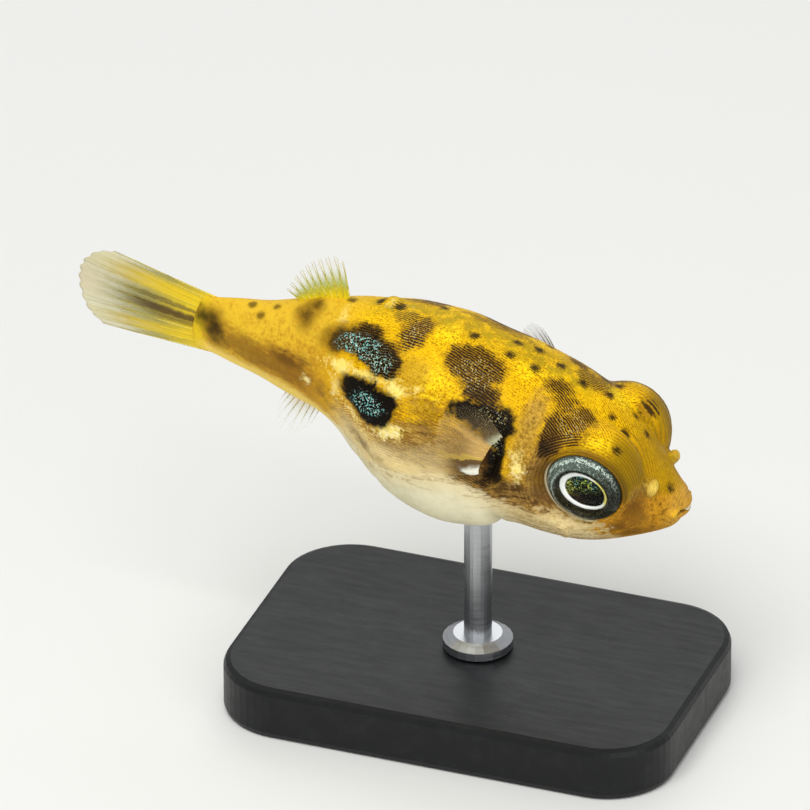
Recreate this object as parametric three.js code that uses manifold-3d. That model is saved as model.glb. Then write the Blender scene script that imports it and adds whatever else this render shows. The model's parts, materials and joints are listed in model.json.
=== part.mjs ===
// A life-size dwarf freshwater pufferfish, nosing slightly down, held by a rod above a small
// display base. Millimetres, +Z up, the fish swims along +X. The origin is the centre of the
// underside of the base.
//
// The fish is first built level in its own frame: x = minus the distance back from the tip of
// the snout, y = towards its left side, z = up from the body axis. The last lines pitch it and
// lift it onto the rod.

import * as THREE from 'three';
import { mergeVertices } from 'three/addons/utils/BufferGeometryUtils.js';
import Module from 'manifold-3d';

const wasm = await Module();
wasm.setup();

const DEG = Math.PI / 180;

// ---- Driving dimensions ----------------------------------------------------------------------

const BODY_LENGTH = 22.2;          // snout to the root of the tail fin
const SNOUT_ROUND = 0.55;          // length over which the snout closes to its tip
const SAW_CUT = 0.1;               // gap left where two pieces meet

const HEAD_ENDS = 7.45;            // cut between head and trunk, just ahead of the gill slit
const TRUNK_ENDS = 15.7;           // cut between trunk and tail, at the vent
const LIPS_END = 0.5;              // cut between the lips and the head
const MOUTH_HEIGHT = -0.08;        // level of the mouth slit on the body axis

const ORBIT = { at: 3.9, up: 1.29, side: 1.72, radius: 2.1 };    // the bulge that holds each eye
const EYE = { radius: 1.71, depth: 1.12, out: 1.0, lookDown: 10 * DEG };
const NOSTRIL = { at: 1.43, up: 1.08, side: 1.34, length: 0.26, height: 0.42, out: 0.42, lean: 35 * DEG };
const BEAK = { width: 0.62, length: 0.4, thickness: 0.13, proud: 0.05 };

const FIN_THICKNESS = 0.5;
const FIN_BEVEL = 0.1;

const PITCH = 10 * DEG;            // nose-down tilt of the whole fish
const SNOUT_IN_ROW = { x: 9.4, z: 11.2 };   // places the fish's weight over the middle of the base
const BASE = { length: 20, width: 13, height: 2.4, corner: 3, bevel: 0.3 };
const ROD = { radius: 0.6, top: 10.0, tipEase: 0.15, collarRadius: 1.5, collarHeight: 0.6 };

// Body outline at named places: height of the back and of the belly line over the body axis, and
// half the body's width.
const OUTLINE = [
  { place: 'tip of the snout', at: 0.0, back: 0.5, belly: -0.66, side: 0.72 },
  { place: 'lips', at: 0.6, back: 0.8, belly: -1.2, side: 1.06 },
  { place: 'chin', at: 1.2, back: 1.3, belly: -1.62, side: 1.45 },
  { place: 'nostrils', at: 2.0, back: 2.1, belly: -2.05, side: 2.05 },
  { place: 'front of the eyes', at: 3.0, back: 2.95, belly: -2.5, side: 2.75 },
  { place: 'middle of the eyes', at: 4.0, back: 3.55, belly: -2.8, side: 3.2 },
  { place: 'behind the eyes', at: 5.5, back: 4.1, belly: -2.98, side: 3.45 },
  { place: 'throat', at: 7.2, back: 4.5, belly: -3.1, side: 3.62 },
  { place: 'shoulder', at: 8.6, back: 4.72, belly: -3.87, side: 3.84 },
  { place: 'deepest belly', at: 10.4, back: 4.92, belly: -4.1, side: 3.9 },
  { place: 'flank', at: 12.2, back: 4.93, belly: -3.72, side: 3.75 },
  { place: 'end of the belly', at: 14.0, back: 4.7, belly: -2.65, side: 3.1 },
  { place: 'vent', at: 15.6, back: 4.33, belly: -1.55, side: 2.3 },
  { place: 'dorsal fin', at: 17.4, back: 3.66, belly: -1.08, side: 1.7 },
  { place: 'tail stalk', at: 19.6, back: 2.78, belly: -0.72, side: 1.15 },
  { place: 'root of the tail fin', at: BODY_LENGTH, back: 2.08, belly: -0.55, side: 0.42 },
];

const FINENESS = { along: 50, around: 40, eye: 22 };
const RING_GATHER = 1.6;           // over 1 draws the body's rings together at the snout

const COLOURS = {
  skin: '#c99a1c',
  eye: '#2f3f45',
  beak: '#efe6c8',
  fin: '#b9ab4a',
  base: '#17181a',
  rod: '#b8bcc0',
};

// ---- Solids ----------------------------------------------------------------------------------

// A closed geometry as a manifold solid, for joining and cutting.
function solidOf(geometry) {
  const bare = geometry.clone();
  bare.deleteAttribute('normal');
  bare.deleteAttribute('uv');
  const merged = mergeVertices(bare, 1e-5);
  return new wasm.Manifold(new wasm.Mesh({
    numProp: 3,
    vertProperties: new Float32Array(merged.attributes.position.array),
    triVerts: new Uint32Array(merged.index.array),
  }));
}

function geometryOf(solid) {
  const mesh = solid.getMesh();
  const geometry = new THREE.BufferGeometry();
  geometry.setAttribute('position', new THREE.BufferAttribute(mesh.vertProperties, 3));
  geometry.setIndex(new THREE.BufferAttribute(mesh.triVerts, 1));
  geometry.computeVertexNormals();
  return geometry;
}

// A box between two distances from the snout, wider and taller than the fish.
function slab(from, to, low = -10, high = 10) {
  const box = new THREE.BoxGeometry(to - from, 20, high - low);
  box.translate(-(from + to) / 2, 0, (low + high) / 2);
  return solidOf(box);
}

// ---- Body ------------------------------------------------------------------------------------

const outline = new THREE.CubicInterpolant(
  OUTLINE.map((row) => row.at),
  OUTLINE.flatMap((row) => [row.back, row.belly, row.side]),
  3,
);

// How far the section has opened at a distance from the snout: a round nose, 0 at its tip.
function opening(at) {
  return Math.sqrt(1 - (1 - Math.min(at / SNOUT_ROUND, 1)) ** 2);
}

// Point of the skin at a distance from the snout and an angle round the body axis, which starts
// at the fish's left side and passes over its back. `grow` moves the whole skin outwards.
function skinPoint(at, angle, grow) {
  const [back, belly, side] = outline.evaluate(at);
  const open = opening(at);
  const halfHeight = ((back - belly) / 2 + grow) * open;
  const halfWidth = (side + grow) * open;
  const middle = (back + belly) / 2;
  const point = new THREE.Vector3(
    -at * (1 + grow / BODY_LENGTH),
    halfWidth * Math.cos(angle),
    middle + halfHeight * Math.sin(angle),
  );
  return pushOutOfOrbits(point, grow);
}

// Where the skin would pass inside the round bulge over an eyeball, it lies on the bulge instead.
function pushOutOfOrbits(point, grow) {
  for (const sign of [-1, 1]) {
    const centre = new THREE.Vector3(-ORBIT.at, sign * ORBIT.side, ORBIT.up);
    const reach = point.distanceTo(centre);
    const radius = ORBIT.radius + grow;
    if (reach < radius) {
      point.sub(centre).multiplyScalar(radius / reach).add(centre);
    }
  }
  return point;
}

// A sphere whose poles become the tip of the snout and the middle of the stalk's flat end, in
// the plane of its last ring. Its rings lie closer together towards the snout, where the outline
// turns fastest.
function bodyGeometry(grow = 0) {
  const geometry = new THREE.SphereGeometry(1, FINENESS.around, FINENESS.along);
  const position = geometry.attributes.position;
  const lastRing = 1 - 1 / FINENESS.along;
  for (let i = 0; i < position.count; i += 1) {
    const height = THREE.MathUtils.clamp(position.getY(i), -1, 1);
    const along = Math.acos(height) / Math.PI;
    const angle = Math.atan2(position.getX(i), position.getZ(i));
    const at = BODY_LENGTH * Math.min(along / lastRing, 1) ** RING_GATHER;
    const point = skinPoint(at, angle, grow);
    if (height === -1) {
      const [back, belly] = outline.evaluate(BODY_LENGTH);
      point.set(point.x, 0, (back + belly) / 2);
    }
    position.setXYZ(i, point.x, point.y, point.z);
  }
  return geometry;
}

// ---- Head ------------------------------------------------------------------------------------

// The eyeball is a flattened ball, deep in its orbit, looking outwards and a little down.
function eyeGeometry(sign, grow = 0) {
  const ball = new THREE.SphereGeometry(1, FINENESS.eye, FINENESS.eye / 2);
  ball.rotateX(Math.PI / 2 * sign);
  ball.scale(EYE.radius + grow, EYE.depth + grow, EYE.radius + grow);
  ball.translate(0, sign * EYE.out, 0);
  ball.rotateX(-sign * EYE.lookDown);
  ball.translate(-ORBIT.at, sign * ORBIT.side, ORBIT.up);
  return ball;
}

// Each nostril opens on a short fleshy knob on the side of the snout.
function nostrilGeometry(sign) {
  const knob = new THREE.SphereGeometry(1, 12, 8);
  knob.scale(NOSTRIL.length, NOSTRIL.out, NOSTRIL.height);
  knob.rotateX(sign * NOSTRIL.lean);
  knob.translate(-NOSTRIL.at, sign * NOSTRIL.side, NOSTRIL.up);
  return knob;
}

// One half of the beak, a short plate that just shows between the lips.
function beakGeometry(side, grow = 0) {
  const plate = new THREE.BoxGeometry(
    BEAK.length + 2 * grow,
    BEAK.width + 2 * grow,
    BEAK.thickness + 2 * grow,
    1,
    6,
    1,
  );
  const position = plate.attributes.position;
  for (let i = 0; i < position.count; i += 1) {
    const across = position.getY(i) / (BEAK.width / 2);
    position.setX(i, position.getX(i) - 0.12 * across ** 2);
  }
  const level = MOUTH_HEIGHT + side * (BEAK.thickness + 0.06) / 2;
  plate.translate(BEAK.proud - BEAK.length / 2, 0, level);
  return plate;
}

// ---- Fins ------------------------------------------------------------------------------------

// A fin blade in its own flat x-y outline, as thick as a fin is and with its edges eased. The
// line from its last point back to its first is the root, which lies inside the body.
function finBlade(points) {
  const shape = new THREE.Shape();
  shape.moveTo(...points[0]);
  shape.splineThru(points.slice(1).map((point) => new THREE.Vector2(...point)));
  const blade = new THREE.ExtrudeGeometry(shape, {
    depth: FIN_THICKNESS - 2 * FIN_BEVEL,
    bevelThickness: FIN_BEVEL,
    bevelSize: FIN_BEVEL,
    bevelOffset: -FIN_BEVEL,
    bevelSegments: 1,
    curveSegments: 2,
  });
  blade.translate(0, 0, FIN_BEVEL - FIN_THICKNESS / 2);
  return blade;
}

// A fin in the fish's middle plane. Its outline is given as [distance from the snout, height].
function middleFin(edge) {
  const blade = finBlade(edge.map(([at, up]) => [-at, up]));
  blade.rotateX(Math.PI / 2);
  return solidOf(blade);
}

const DORSAL_EDGE = [
  [16.1, 4.0], [16.35, 5.2], [16.68, 6.0], [17.1, 6.18], [17.55, 5.95], [18.02, 5.55], [18.42, 5.05],
  [18.72, 4.42], [18.92, 3.72], [18.75, 3.3], [18.2, 3.1],
];
const ANAL_EDGE = [
  [18.0, -0.8], [18.3, -1.7], [18.35, -2.55], [18.1, -3.25], [17.6, -3.28], [17.12, -2.95],
  [16.7, -2.45], [16.45, -1.8], [16.35, -1.0],
];
const TAIL_EDGE = [
  [21.9, 2.1], [23.3, 2.25], [24.9, 2.48], [26.5, 2.6], [27.4, 2.36], [27.88, 1.8], [28.0, 1.0],
  [27.87, 0.25], [27.42, -0.47], [26.5, -1.02], [25.2, -1.02], [23.8, -0.87], [21.9, -0.55],
];

// The pectoral fins are fans hinged on a short upright root behind each gill slit, swept back and
// held a little away from the flank. Outline as [distance out along the fan, height over its root].
const PECTORAL = { at: 7.95, up: 1.7, side: 3.72, spread: 30 * DEG };
const HALF_CLOSED = 0.82;                // size of the left fin, which is half closed, to the right one
const PECTORAL_EDGE = [
  [-0.35, 0.88], [0.1, 1.55], [0.55, 2.04], [1.15, 2.2], [1.75, 2.18], [2.4, 1.62], [2.54, 0.75],
  [2.44, -0.17], [2.14, -1.03], [1.5, -1.36], [0.85, -1.4], [0.25, -1.1], [-0.08, -0.5],
];

function pectoralFin(sign) {
  const open = sign > 0 ? HALF_CLOSED : 1;
  const blade = finBlade(PECTORAL_EDGE.map(([out, up]) => [-out * open, up * open]));
  blade.rotateX(Math.PI / 2);
  blade.rotateZ(-sign * PECTORAL.spread);
  blade.translate(-PECTORAL.at, sign * PECTORAL.side, PECTORAL.up);
  return solidOf(blade);
}

// ---- Stand -----------------------------------------------------------------------------------

function standBase() {
  const halfLength = BASE.length / 2;
  const halfWidth = BASE.width / 2;
  const shape = new THREE.Shape();
  const corners = [
    [halfLength, halfWidth, 0], [-halfLength, halfWidth, 90],
    [-halfLength, -halfWidth, 180], [halfLength, -halfWidth, 270],
  ];
  for (const [x, y, start] of corners) {
    const centreX = x - Math.sign(x) * BASE.corner;
    const centreY = y - Math.sign(y) * BASE.corner;
    shape.absarc(centreX, centreY, BASE.corner, start * DEG, (start + 90) * DEG, false);
  }
  const plate = new THREE.ExtrudeGeometry(shape, {
    depth: BASE.height - 2 * BASE.bevel,
    bevelThickness: BASE.bevel,
    bevelSize: BASE.bevel,
    bevelOffset: -BASE.bevel,
    bevelSegments: 2,
    curveSegments: 6,
  });
  plate.translate(0, 0, BASE.bevel);
  return plate;
}

// A rod with a low collar where it is screwed to the base.
function standRod(grow = 0) {
  const foot = BASE.height + SAW_CUT;
  const shoulder = foot + ROD.collarHeight;
  const radius = ROD.radius + grow;
  const top = ROD.top + grow;
  const profile = [
    [0, foot], [ROD.collarRadius, foot], [ROD.collarRadius, foot + ROD.collarHeight * 0.6],
    [ROD.collarRadius * 0.7, shoulder], [radius, shoulder],
    [radius, top - ROD.tipEase], [radius - ROD.tipEase, top], [0, top],
  ];
  const lathe = new THREE.LatheGeometry(profile.map((point) => new THREE.Vector2(...point)), 24);
  lathe.rotateX(Math.PI / 2);
  return lathe;
}

// ---- Assembly --------------------------------------------------------------------------------

function material(colour, roughness, metalness = 0) {
  return new THREE.MeshStandardMaterial({ color: colour, roughness, metalness });
}

function named(name, geometry, look) {
  const mesh = new THREE.Mesh(geometry, look);
  mesh.name = name;
  return mesh;
}

const skin = material(COLOURS.skin, 0.4);
const finSkin = material(COLOURS.fin, 0.35);
const eyeGloss = material(COLOURS.eye, 0.08);
const beakWhite = material(COLOURS.beak, 0.3);
const baseBlack = material(COLOURS.base, 0.35);
const rodSteel = material(COLOURS.rod, 0.25, 1);

const fish = new THREE.Group();
fish.rotation.y = PITCH;
fish.position.set(SNOUT_IN_ROW.x, 0, SNOUT_IN_ROW.z);
fish.updateMatrixWorld(true);

const body = solidOf(bodyGeometry());
const bodyWithPlay = solidOf(bodyGeometry(SAW_CUT));
const half = SAW_CUT / 2;

// Head: the body ahead of the gills, less the lips and the eye sockets.
let head = body.intersect(slab(LIPS_END + half, HEAD_ENDS - half));
for (const sign of [-1, 1]) {
  head = head.subtract(solidOf(eyeGeometry(sign, SAW_CUT)));
}
fish.add(named('head', geometryOf(head), skin));

for (const [name, side] of [['upper', 1], ['lower', -1]]) {
  const low = side > 0 ? MOUTH_HEIGHT + half : -10;
  const high = side > 0 ? 10 : MOUTH_HEIGHT - half;
  const lip = body
    .intersect(slab(-1, LIPS_END - half, low, high))
    .subtract(solidOf(beakGeometry(1, half)))
    .subtract(solidOf(beakGeometry(-1, half)));
  fish.add(named(`lip_${name}`, geometryOf(lip), skin));
  fish.add(named(`beak_${name}`, beakGeometry(side), beakWhite));
}

for (const [name, sign] of [['left', 1], ['right', -1]]) {
  fish.add(named(`eye_${name}`, eyeGeometry(sign), eyeGloss));
  const nostril = solidOf(nostrilGeometry(sign)).subtract(bodyWithPlay);
  fish.add(named(`nostril_${name}`, geometryOf(nostril), skin));
  const pectoral = pectoralFin(sign).subtract(bodyWithPlay);
  fish.add(named(`fin_pectoral_${name}`, geometryOf(pectoral), finSkin));
}

// The rod's bore is cut in the trunk with the rod brought into the fish's own frame.
const bore = standRod(SAW_CUT);
bore.applyMatrix4(fish.matrixWorld.clone().invert());
const trunk = body.intersect(slab(HEAD_ENDS + half, TRUNK_ENDS - half)).subtract(solidOf(bore));
fish.add(named('trunk', geometryOf(trunk), skin));

const tailStalk = body.intersect(slab(TRUNK_ENDS + half, BODY_LENGTH + 1));
fish.add(named('tail', geometryOf(tailStalk), skin));

const middleFins = {
  fin_dorsal: middleFin(DORSAL_EDGE),
  fin_anal: middleFin(ANAL_EDGE),
  fin_caudal: middleFin(TAIL_EDGE),
};
for (const [name, blade] of Object.entries(middleFins)) {
  fish.add(named(name, geometryOf(blade.subtract(bodyWithPlay)), finSkin));
}

const group = new THREE.Group();
group.add(fish);
group.add(named('stand_base', standBase(), baseBlack));
group.add(named('stand_rod', standRod(), rodSteel));

export default group;
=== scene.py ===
# %% [markdown]
# # A dwarf freshwater pufferfish on a display rod
#
# A life-size model, 28 mm from lips to tail fin, held nose-down over a small black base. The
# lesson builds it in five parts: the skin, the eyes, the mouth, the fins and the stand, and
# then lights it. Everything is worked out in millimetres in the fish's own level frame and is
# turned and scaled into the display's frame, in metres, as the last step of each piece.
#
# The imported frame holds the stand, which stays, and plain solids for the fish, which are
# replaced here by finer pieces of the same size.

# %% Load the frame
import json
import math

import bmesh
import bpy
import numpy as np
from mathutils import Matrix, Vector

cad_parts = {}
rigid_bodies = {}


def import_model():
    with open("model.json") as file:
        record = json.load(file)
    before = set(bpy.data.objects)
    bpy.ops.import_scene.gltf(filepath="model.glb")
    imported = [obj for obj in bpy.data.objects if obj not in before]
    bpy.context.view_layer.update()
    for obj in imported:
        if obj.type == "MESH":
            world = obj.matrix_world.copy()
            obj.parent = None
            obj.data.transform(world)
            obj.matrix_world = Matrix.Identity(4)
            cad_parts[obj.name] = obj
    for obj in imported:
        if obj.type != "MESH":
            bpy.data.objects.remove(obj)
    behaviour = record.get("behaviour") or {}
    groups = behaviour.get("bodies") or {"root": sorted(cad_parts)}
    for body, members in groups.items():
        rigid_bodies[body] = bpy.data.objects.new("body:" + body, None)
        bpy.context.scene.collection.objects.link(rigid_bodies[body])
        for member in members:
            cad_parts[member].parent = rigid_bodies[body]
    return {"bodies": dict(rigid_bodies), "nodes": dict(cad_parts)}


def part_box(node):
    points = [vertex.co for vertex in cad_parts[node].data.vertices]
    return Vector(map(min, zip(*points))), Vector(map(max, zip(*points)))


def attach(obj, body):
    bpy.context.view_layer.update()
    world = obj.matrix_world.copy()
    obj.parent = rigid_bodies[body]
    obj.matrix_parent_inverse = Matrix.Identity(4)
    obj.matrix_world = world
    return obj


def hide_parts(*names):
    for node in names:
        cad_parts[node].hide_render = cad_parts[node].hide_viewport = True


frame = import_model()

framed = {*frame["nodes"].values(), *frame["bodies"].values()}
for leftover in set(bpy.data.objects) - framed:
    bpy.data.objects.remove(leftover)

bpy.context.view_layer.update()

# %% [markdown]
# ## The fish's own frame
#
# The fish is easiest to describe level: how far back from the tip of the snout a point lies,
# how far to the fish's left, and how far above the body axis. One matrix pitches it ten degrees
# nose-down and lifts it onto the rod. Arrays of points keep the order back, left, up; only the
# x coordinate of a mesh has to change sign, because a fish swims towards +X.

# %% From fish millimetres to display metres
MM = 0.001
PITCH = math.radians(10)
SNOUT = Vector((9.4, 0.0, 11.2))             # tip of the snout over the base, mm
FISH_TO_ROW = (
    Matrix.Scale(MM, 4) @ Matrix.Translation(SNOUT) @ Matrix.Rotation(PITCH, 4, "Y")
)


def place_of(back, left, up):
    """A point of the fish, in mm, as a point of the display, in metres."""
    return FISH_TO_ROW @ Vector((-back, left, up))


snout_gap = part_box("lip_upper")[1].x - place_of(0, 0, 0).x
print(f"snout to the front of the upper lip: {snout_gap / MM:.2f} mm")


# %% [markdown]
# ## Turning a drawn shape into a piece
#
# Every piece ends the same way: its bmesh becomes a mesh, goes through the matrix once, and
# rides on the display's one body. With its place in the mesh and the object left at the origin,
# a pattern on Object coordinates stays where it was made. Numbers that a material needs later,
# such as the distance to the edge of a blotch, are stored on the vertices as attributes.

# %% Finish a piece
def points_of(mesh):
    """The mesh's vertices as an array of back, left, up, while it is still in fish millimetres."""
    flat = np.empty(len(mesh.vertices) * 3)
    mesh.vertices.foreach_get("co", flat)
    points = flat.reshape(-1, 3)
    return points * (-1, 1, 1)


def move_points(mesh, points):
    mesh.vertices.foreach_set("co", (points * (-1, 1, 1)).ravel())
    mesh.update()


def note(mesh, name, values):
    """Stores a number or three numbers for each vertex under a name that a material can read."""
    values = np.asarray(values, float)
    kind, field = ("FLOAT", "value") if values.ndim == 1 else ("FLOAT_VECTOR", "vector")
    mesh.attributes.new(name, kind, "POINT").data.foreach_set(field, values.ravel())


def mesh_of(name, shape, outwards=True):
    if outwards:
        bmesh.ops.recalc_face_normals(shape, faces=shape.faces)
    mesh = bpy.data.meshes.new(name)
    shape.to_mesh(mesh)
    shape.free()
    return mesh


def finish(name, mesh, material, slot, *nodes):
    """Puts a mesh drawn in fish millimetres on the display, in place of some CAD nodes."""
    mesh.transform(FISH_TO_ROW)
    mesh.polygons.foreach_set("use_smooth", [True] * len(mesh.polygons))
    mesh.materials.append(material)
    piece = bpy.data.objects.new(name, mesh)
    bpy.context.scene.collection.objects.link(piece)
    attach(piece, "root")
    if nodes:
        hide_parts(*nodes)
    triangles = sum(len(face.vertices) - 2 for face in mesh.polygons)
    print(f"{name}: {triangles} triangles")
    return piece


# %% [markdown]
# ## Shader maths in plain Python
#
# A fish's pattern is arithmetic on distances, so its material would be a web of Math nodes.
# Wrapping a socket in a small class lets an ordinary expression add those nodes, and one
# method makes any other kind of node.

# %% The signal class
class Signal:
    """A number, colour or vector flowing through a material, for use in Python expressions."""

    def __init__(self, tree, socket):
        self.tree = tree
        self.socket = socket

    def node(self, kind, settings=None, inputs=None, output=0):
        """Adds a node of a kind with its settings, then the values or links of its sockets."""
        made = self.tree.nodes.new("ShaderNode" + kind)
        for setting, value in (settings or {}).items():
            if setting == "stops":
                self.set_stops(made.color_ramp, value)
            else:
                setattr(made, setting, value)
        for name, value in (inputs or {}).items():
            if isinstance(value, Signal):
                self.tree.links.new(value.socket, made.inputs[name])
            else:
                made.inputs[name].default_value = value
        return Signal(self.tree, made.outputs[output])

    @staticmethod
    def set_stops(ramp, stops):
        while len(ramp.elements) < len(stops):
            ramp.elements.new(1.0)
        for element, (position, colour) in zip(ramp.elements, stops):
            element.position = position
            element.color = colour

    def maths(self, operation, *terms, clamp=False):
        return self.node("Math", {"operation": operation, "use_clamp": clamp}, dict(enumerate(terms)))

    def __add__(self, other):
        return self.maths("ADD", self, other)

    def __sub__(self, other):
        return self.maths("SUBTRACT", self, other)

    def __mul__(self, other):
        return self.maths("MULTIPLY", self, other)

    def __truediv__(self, other):
        return self.maths("DIVIDE", self, other)

    def __rsub__(self, other):
        return self.maths("SUBTRACT", other, self)

    __radd__ = __add__
    __rmul__ = __mul__

    def wave(self, period):
        """A wave from 0 to 1 and back each period."""
        return self.maths("SINE", self * (math.tau / period)) * 0.5 + 0.5

    def most(self, other):
        return self.maths("MAXIMUM", self, other)

    def unsigned(self):
        return self.maths("ABSOLUTE", self)

    def root(self):
        return self.maths("SQRT", self)

    def held(self):
        """The number kept between 0 and 1."""
        return self.maths("ADD", self, 0.0, clamp=True)

    def step(self, low, high):
        """Rises smoothly from 0 at low to 1 at high."""
        settings = {"interpolation_type": "SMOOTHSTEP"}
        return self.node("MapRange", settings, {"Value": self, "From Min": low, "From Max": high})

    def parts(self):
        """The three numbers of a vector."""
        return [self.node("SeparateXYZ", None, {0: self}, k) for k in range(3)]

    def stretched(self, x, y, z):
        return self.node("VectorMath", {"operation": "MULTIPLY"}, {0: self, 1: (x, y, z)})

    def noise(self, scale, detail=2.0, roughness=0.5):
        """Soft random shades around 0.5, so many to the unit of this vector."""
        inputs = {"Vector": self, "Scale": scale, "Detail": detail, "Roughness": roughness}
        return self.node("TexNoise", None, inputs)


def blend(mask, below, above):
    """The colour below where the mask is 0 and the colour above where it is 1."""
    settings = {"data_type": "RGBA"}
    colours = {0: mask, 6: as_colour(below), 7: as_colour(above)}
    return mask.node("Mix", settings, colours, 2)


def as_colour(value):
    return value if isinstance(value, Signal) else (*value, 1.0)


# %% [markdown]
# A colour is named by how it looks on a screen, in steps of 0 to 255, and is turned into the
# linear light that a shader adds up. A finish starts as a Principled shader whose fixed numbers
# are set on its own sockets, and hands back the first signals that a pattern starts from.

# %% Start a material
def paint(red, green, blue):
    """A screen colour as linear light."""
    steps = [value / 255 for value in (red, green, blue)]
    return tuple(s / 12.92 if s <= 0.04045 else ((s + 0.055) / 1.055) ** 2.4 for s in steps)


class Finish:
    """A material in the making: its shader, and the signals that its pattern reads."""

    def __init__(self, name, **fixed):
        self.material = bpy.data.materials.new(name)
        self.material.use_nodes = True
        self.tree = self.material.node_tree
        self.shader = self.tree.nodes["Principled BSDF"]
        self.start = Signal(self.tree, None)
        for socket, value in fixed.items():
            self.shader.inputs[socket.replace("_", " ")].default_value = value

    def grain(self):
        """Place on the piece in millimetres."""
        place = self.start.node("TexCoord", None, None, 3)
        return place.node("VectorMath", {"operation": "SCALE"}, {0: place, "Scale": 1 / MM})

    def noted(self, name, output=1):
        """What was stored on the vertices under a name: 1 as a vector, 2 as a number."""
        return self.start.node("Attribute", {"attribute_name": name}, None, output)

    def feed(self, **signals):
        for socket, signal in signals.items():
            self.tree.links.new(signal.socket, self.shader.inputs[socket.replace("_", " ")])

    def relief(self, height, depth, strength=1.0):
        """Raises the surface by a height of 0 to 1 times a depth in millimetres."""
        inputs = {"Strength": strength, "Distance": depth * MM, "Height": height}
        self.feed(Normal=self.start.node("Bump", None, inputs))


print("signal class ready")

# %% [markdown]
# ## The body as a field of distances
#
# A puffer's body is one smooth, swelling form: a round snout, two domed orbits, small nostril
# knobs and a tapering tail stalk. Lofting sections and joining the domes with booleans would
# leave creases where they meet. Instead each form is a function that gives the distance from
# its surface, negative inside, and a soft minimum of the functions melts them together. A
# sphere's vertices are then walked onto the place where the field is zero.

# %% Body outline
BODY_LENGTH = 22.2                 # snout to the root of the tail fin
SNOUT_ROUND = 0.55                 # length over which the snout closes
TAIL_ROUND = 0.4                   # length over which the tail stalk closes inside the tail fin

# At named places: distance back from the snout, height of the back, height of the belly line,
# and half the width.
OUTLINE = {
    "tip of the snout": (0.0, 0.5, -0.66, 0.72),
    "lips": (0.6, 0.8, -1.2, 1.06),
    "chin": (1.2, 1.3, -1.62, 1.45),
    "nostrils": (2.0, 2.1, -2.05, 2.05),
    "front of the eyes": (3.0, 2.95, -2.5, 2.75),
    "middle of the eyes": (4.0, 3.55, -2.8, 3.2),
    "behind the eyes": (5.5, 4.1, -2.98, 3.45),
    "throat": (7.2, 4.5, -3.1, 3.62),
    "shoulder": (8.6, 4.72, -3.87, 3.84),
    "deepest belly": (10.4, 4.92, -4.1, 3.9),
    "flank": (12.2, 4.93, -3.72, 3.75),
    "end of the belly": (14.0, 4.7, -2.65, 3.1),
    "vent": (15.6, 4.33, -1.55, 2.3),
    "dorsal fin": (17.4, 3.66, -1.08, 1.7),
    "tail stalk": (19.6, 2.78, -0.72, 1.15),
    "root of the tail fin": (BODY_LENGTH, 2.08, -0.55, 0.24),
}
STATIONS = np.array(list(OUTLINE.values()))
STEPS = np.diff(STATIONS, axis=0)
SECANTS = STEPS[:, 1:] / STEPS[:, :1]
SLOPES = np.concatenate([SECANTS[:1], (SECANTS[1:] + SECANTS[:-1]) / 2, SECANTS[-1:]])


def outline(back):
    """Middle height, half height and half width of the body at distances from the snout."""
    back = np.clip(back, 0, BODY_LENGTH)
    k = np.clip(np.searchsorted(STATIONS[:, 0], back, "right") - 1, 0, len(STEPS) - 1)
    width = STEPS[k, :1]
    t = (back[:, None] - STATIONS[k, :1]) / width
    start = STATIONS[k, 1:] * (2 * t**3 - 3 * t**2 + 1) + SLOPES[k] * width * (t**3 - 2 * t**2 + t)
    end = STATIONS[k + 1, 1:] * (3 * t**2 - 2 * t**3) + SLOPES[k + 1] * width * (t**3 - t**2)
    top, bottom, side = (start + end).T
    return (top + bottom) / 2, (top - bottom) / 2, side


print("half width at the deepest belly:", outline(np.array([10.4]))[2])

# %% [markdown]
# The orbits are spheres and the nostrils short round-ended posts of oval section. Adding a shape
# to a field costs one function, and the soft minimum takes care of the join. The fine skin has
# one more need: a knob so small would be stretched out of too few points, so those round its foot
# are drawn in and up over it before they settle.

# %% Domes and nostril knobs
LEFT, RIGHT = 1, -1
ORBIT = np.array([3.9, 1.72, 1.29])           # centre of the dome over the left eye
ORBIT_RADIUS = 2.1
LOOK_DOWN = math.radians(10)
NOSTRIL = np.array([1.43, 1.38, 1.12])       # middle of the round end of the left nostril's knob
NOSTRIL_AIM = np.array([-0.5, 0.65, 0.45]) / np.linalg.norm([0.5, 0.65, 0.45])
NOSTRIL_RADIUS = 0.31
NOSTRIL_OVAL = (0.82, 1.35)        # how much narrower and taller than round its section is
KNOB_CATCH = 0.62                  # skin within this reach of a knob's axis is drawn up over it
KNOB_EASE = 1.0                    # and out to here it is spread to fill the gap
KNOB_SKIRT = 0.25                  # how far down beside the knob the drawn-up skin starts
KNOB_NEAR = 0.7                    # height over and under the knob within which skin is drawn


def mirrored(point, side):
    return np.asarray(point) * (1, side, 1)


def body_distance(p):
    """Distance from the lofted body, whose ends close as half ellipsoids."""
    middle, half, side = outline(p[:, 0])
    across = p[:, 1] / side
    above = (p[:, 2] - middle) / half
    nose = np.clip(1 - p[:, 0] / SNOUT_ROUND, 0, None)
    tail = np.clip((p[:, 0] - BODY_LENGTH) / TAIL_ROUND, 0, None)
    reach = np.sqrt(across**2 + above**2 + nose**2 + tail**2)
    steepness = np.sqrt(
        (across / side) ** 2 + (above / half) ** 2 + (nose / SNOUT_ROUND) ** 2 + (tail / TAIL_ROUND) ** 2
    )
    return (reach - 1) * reach / np.maximum(steepness, 1e-6)


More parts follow.
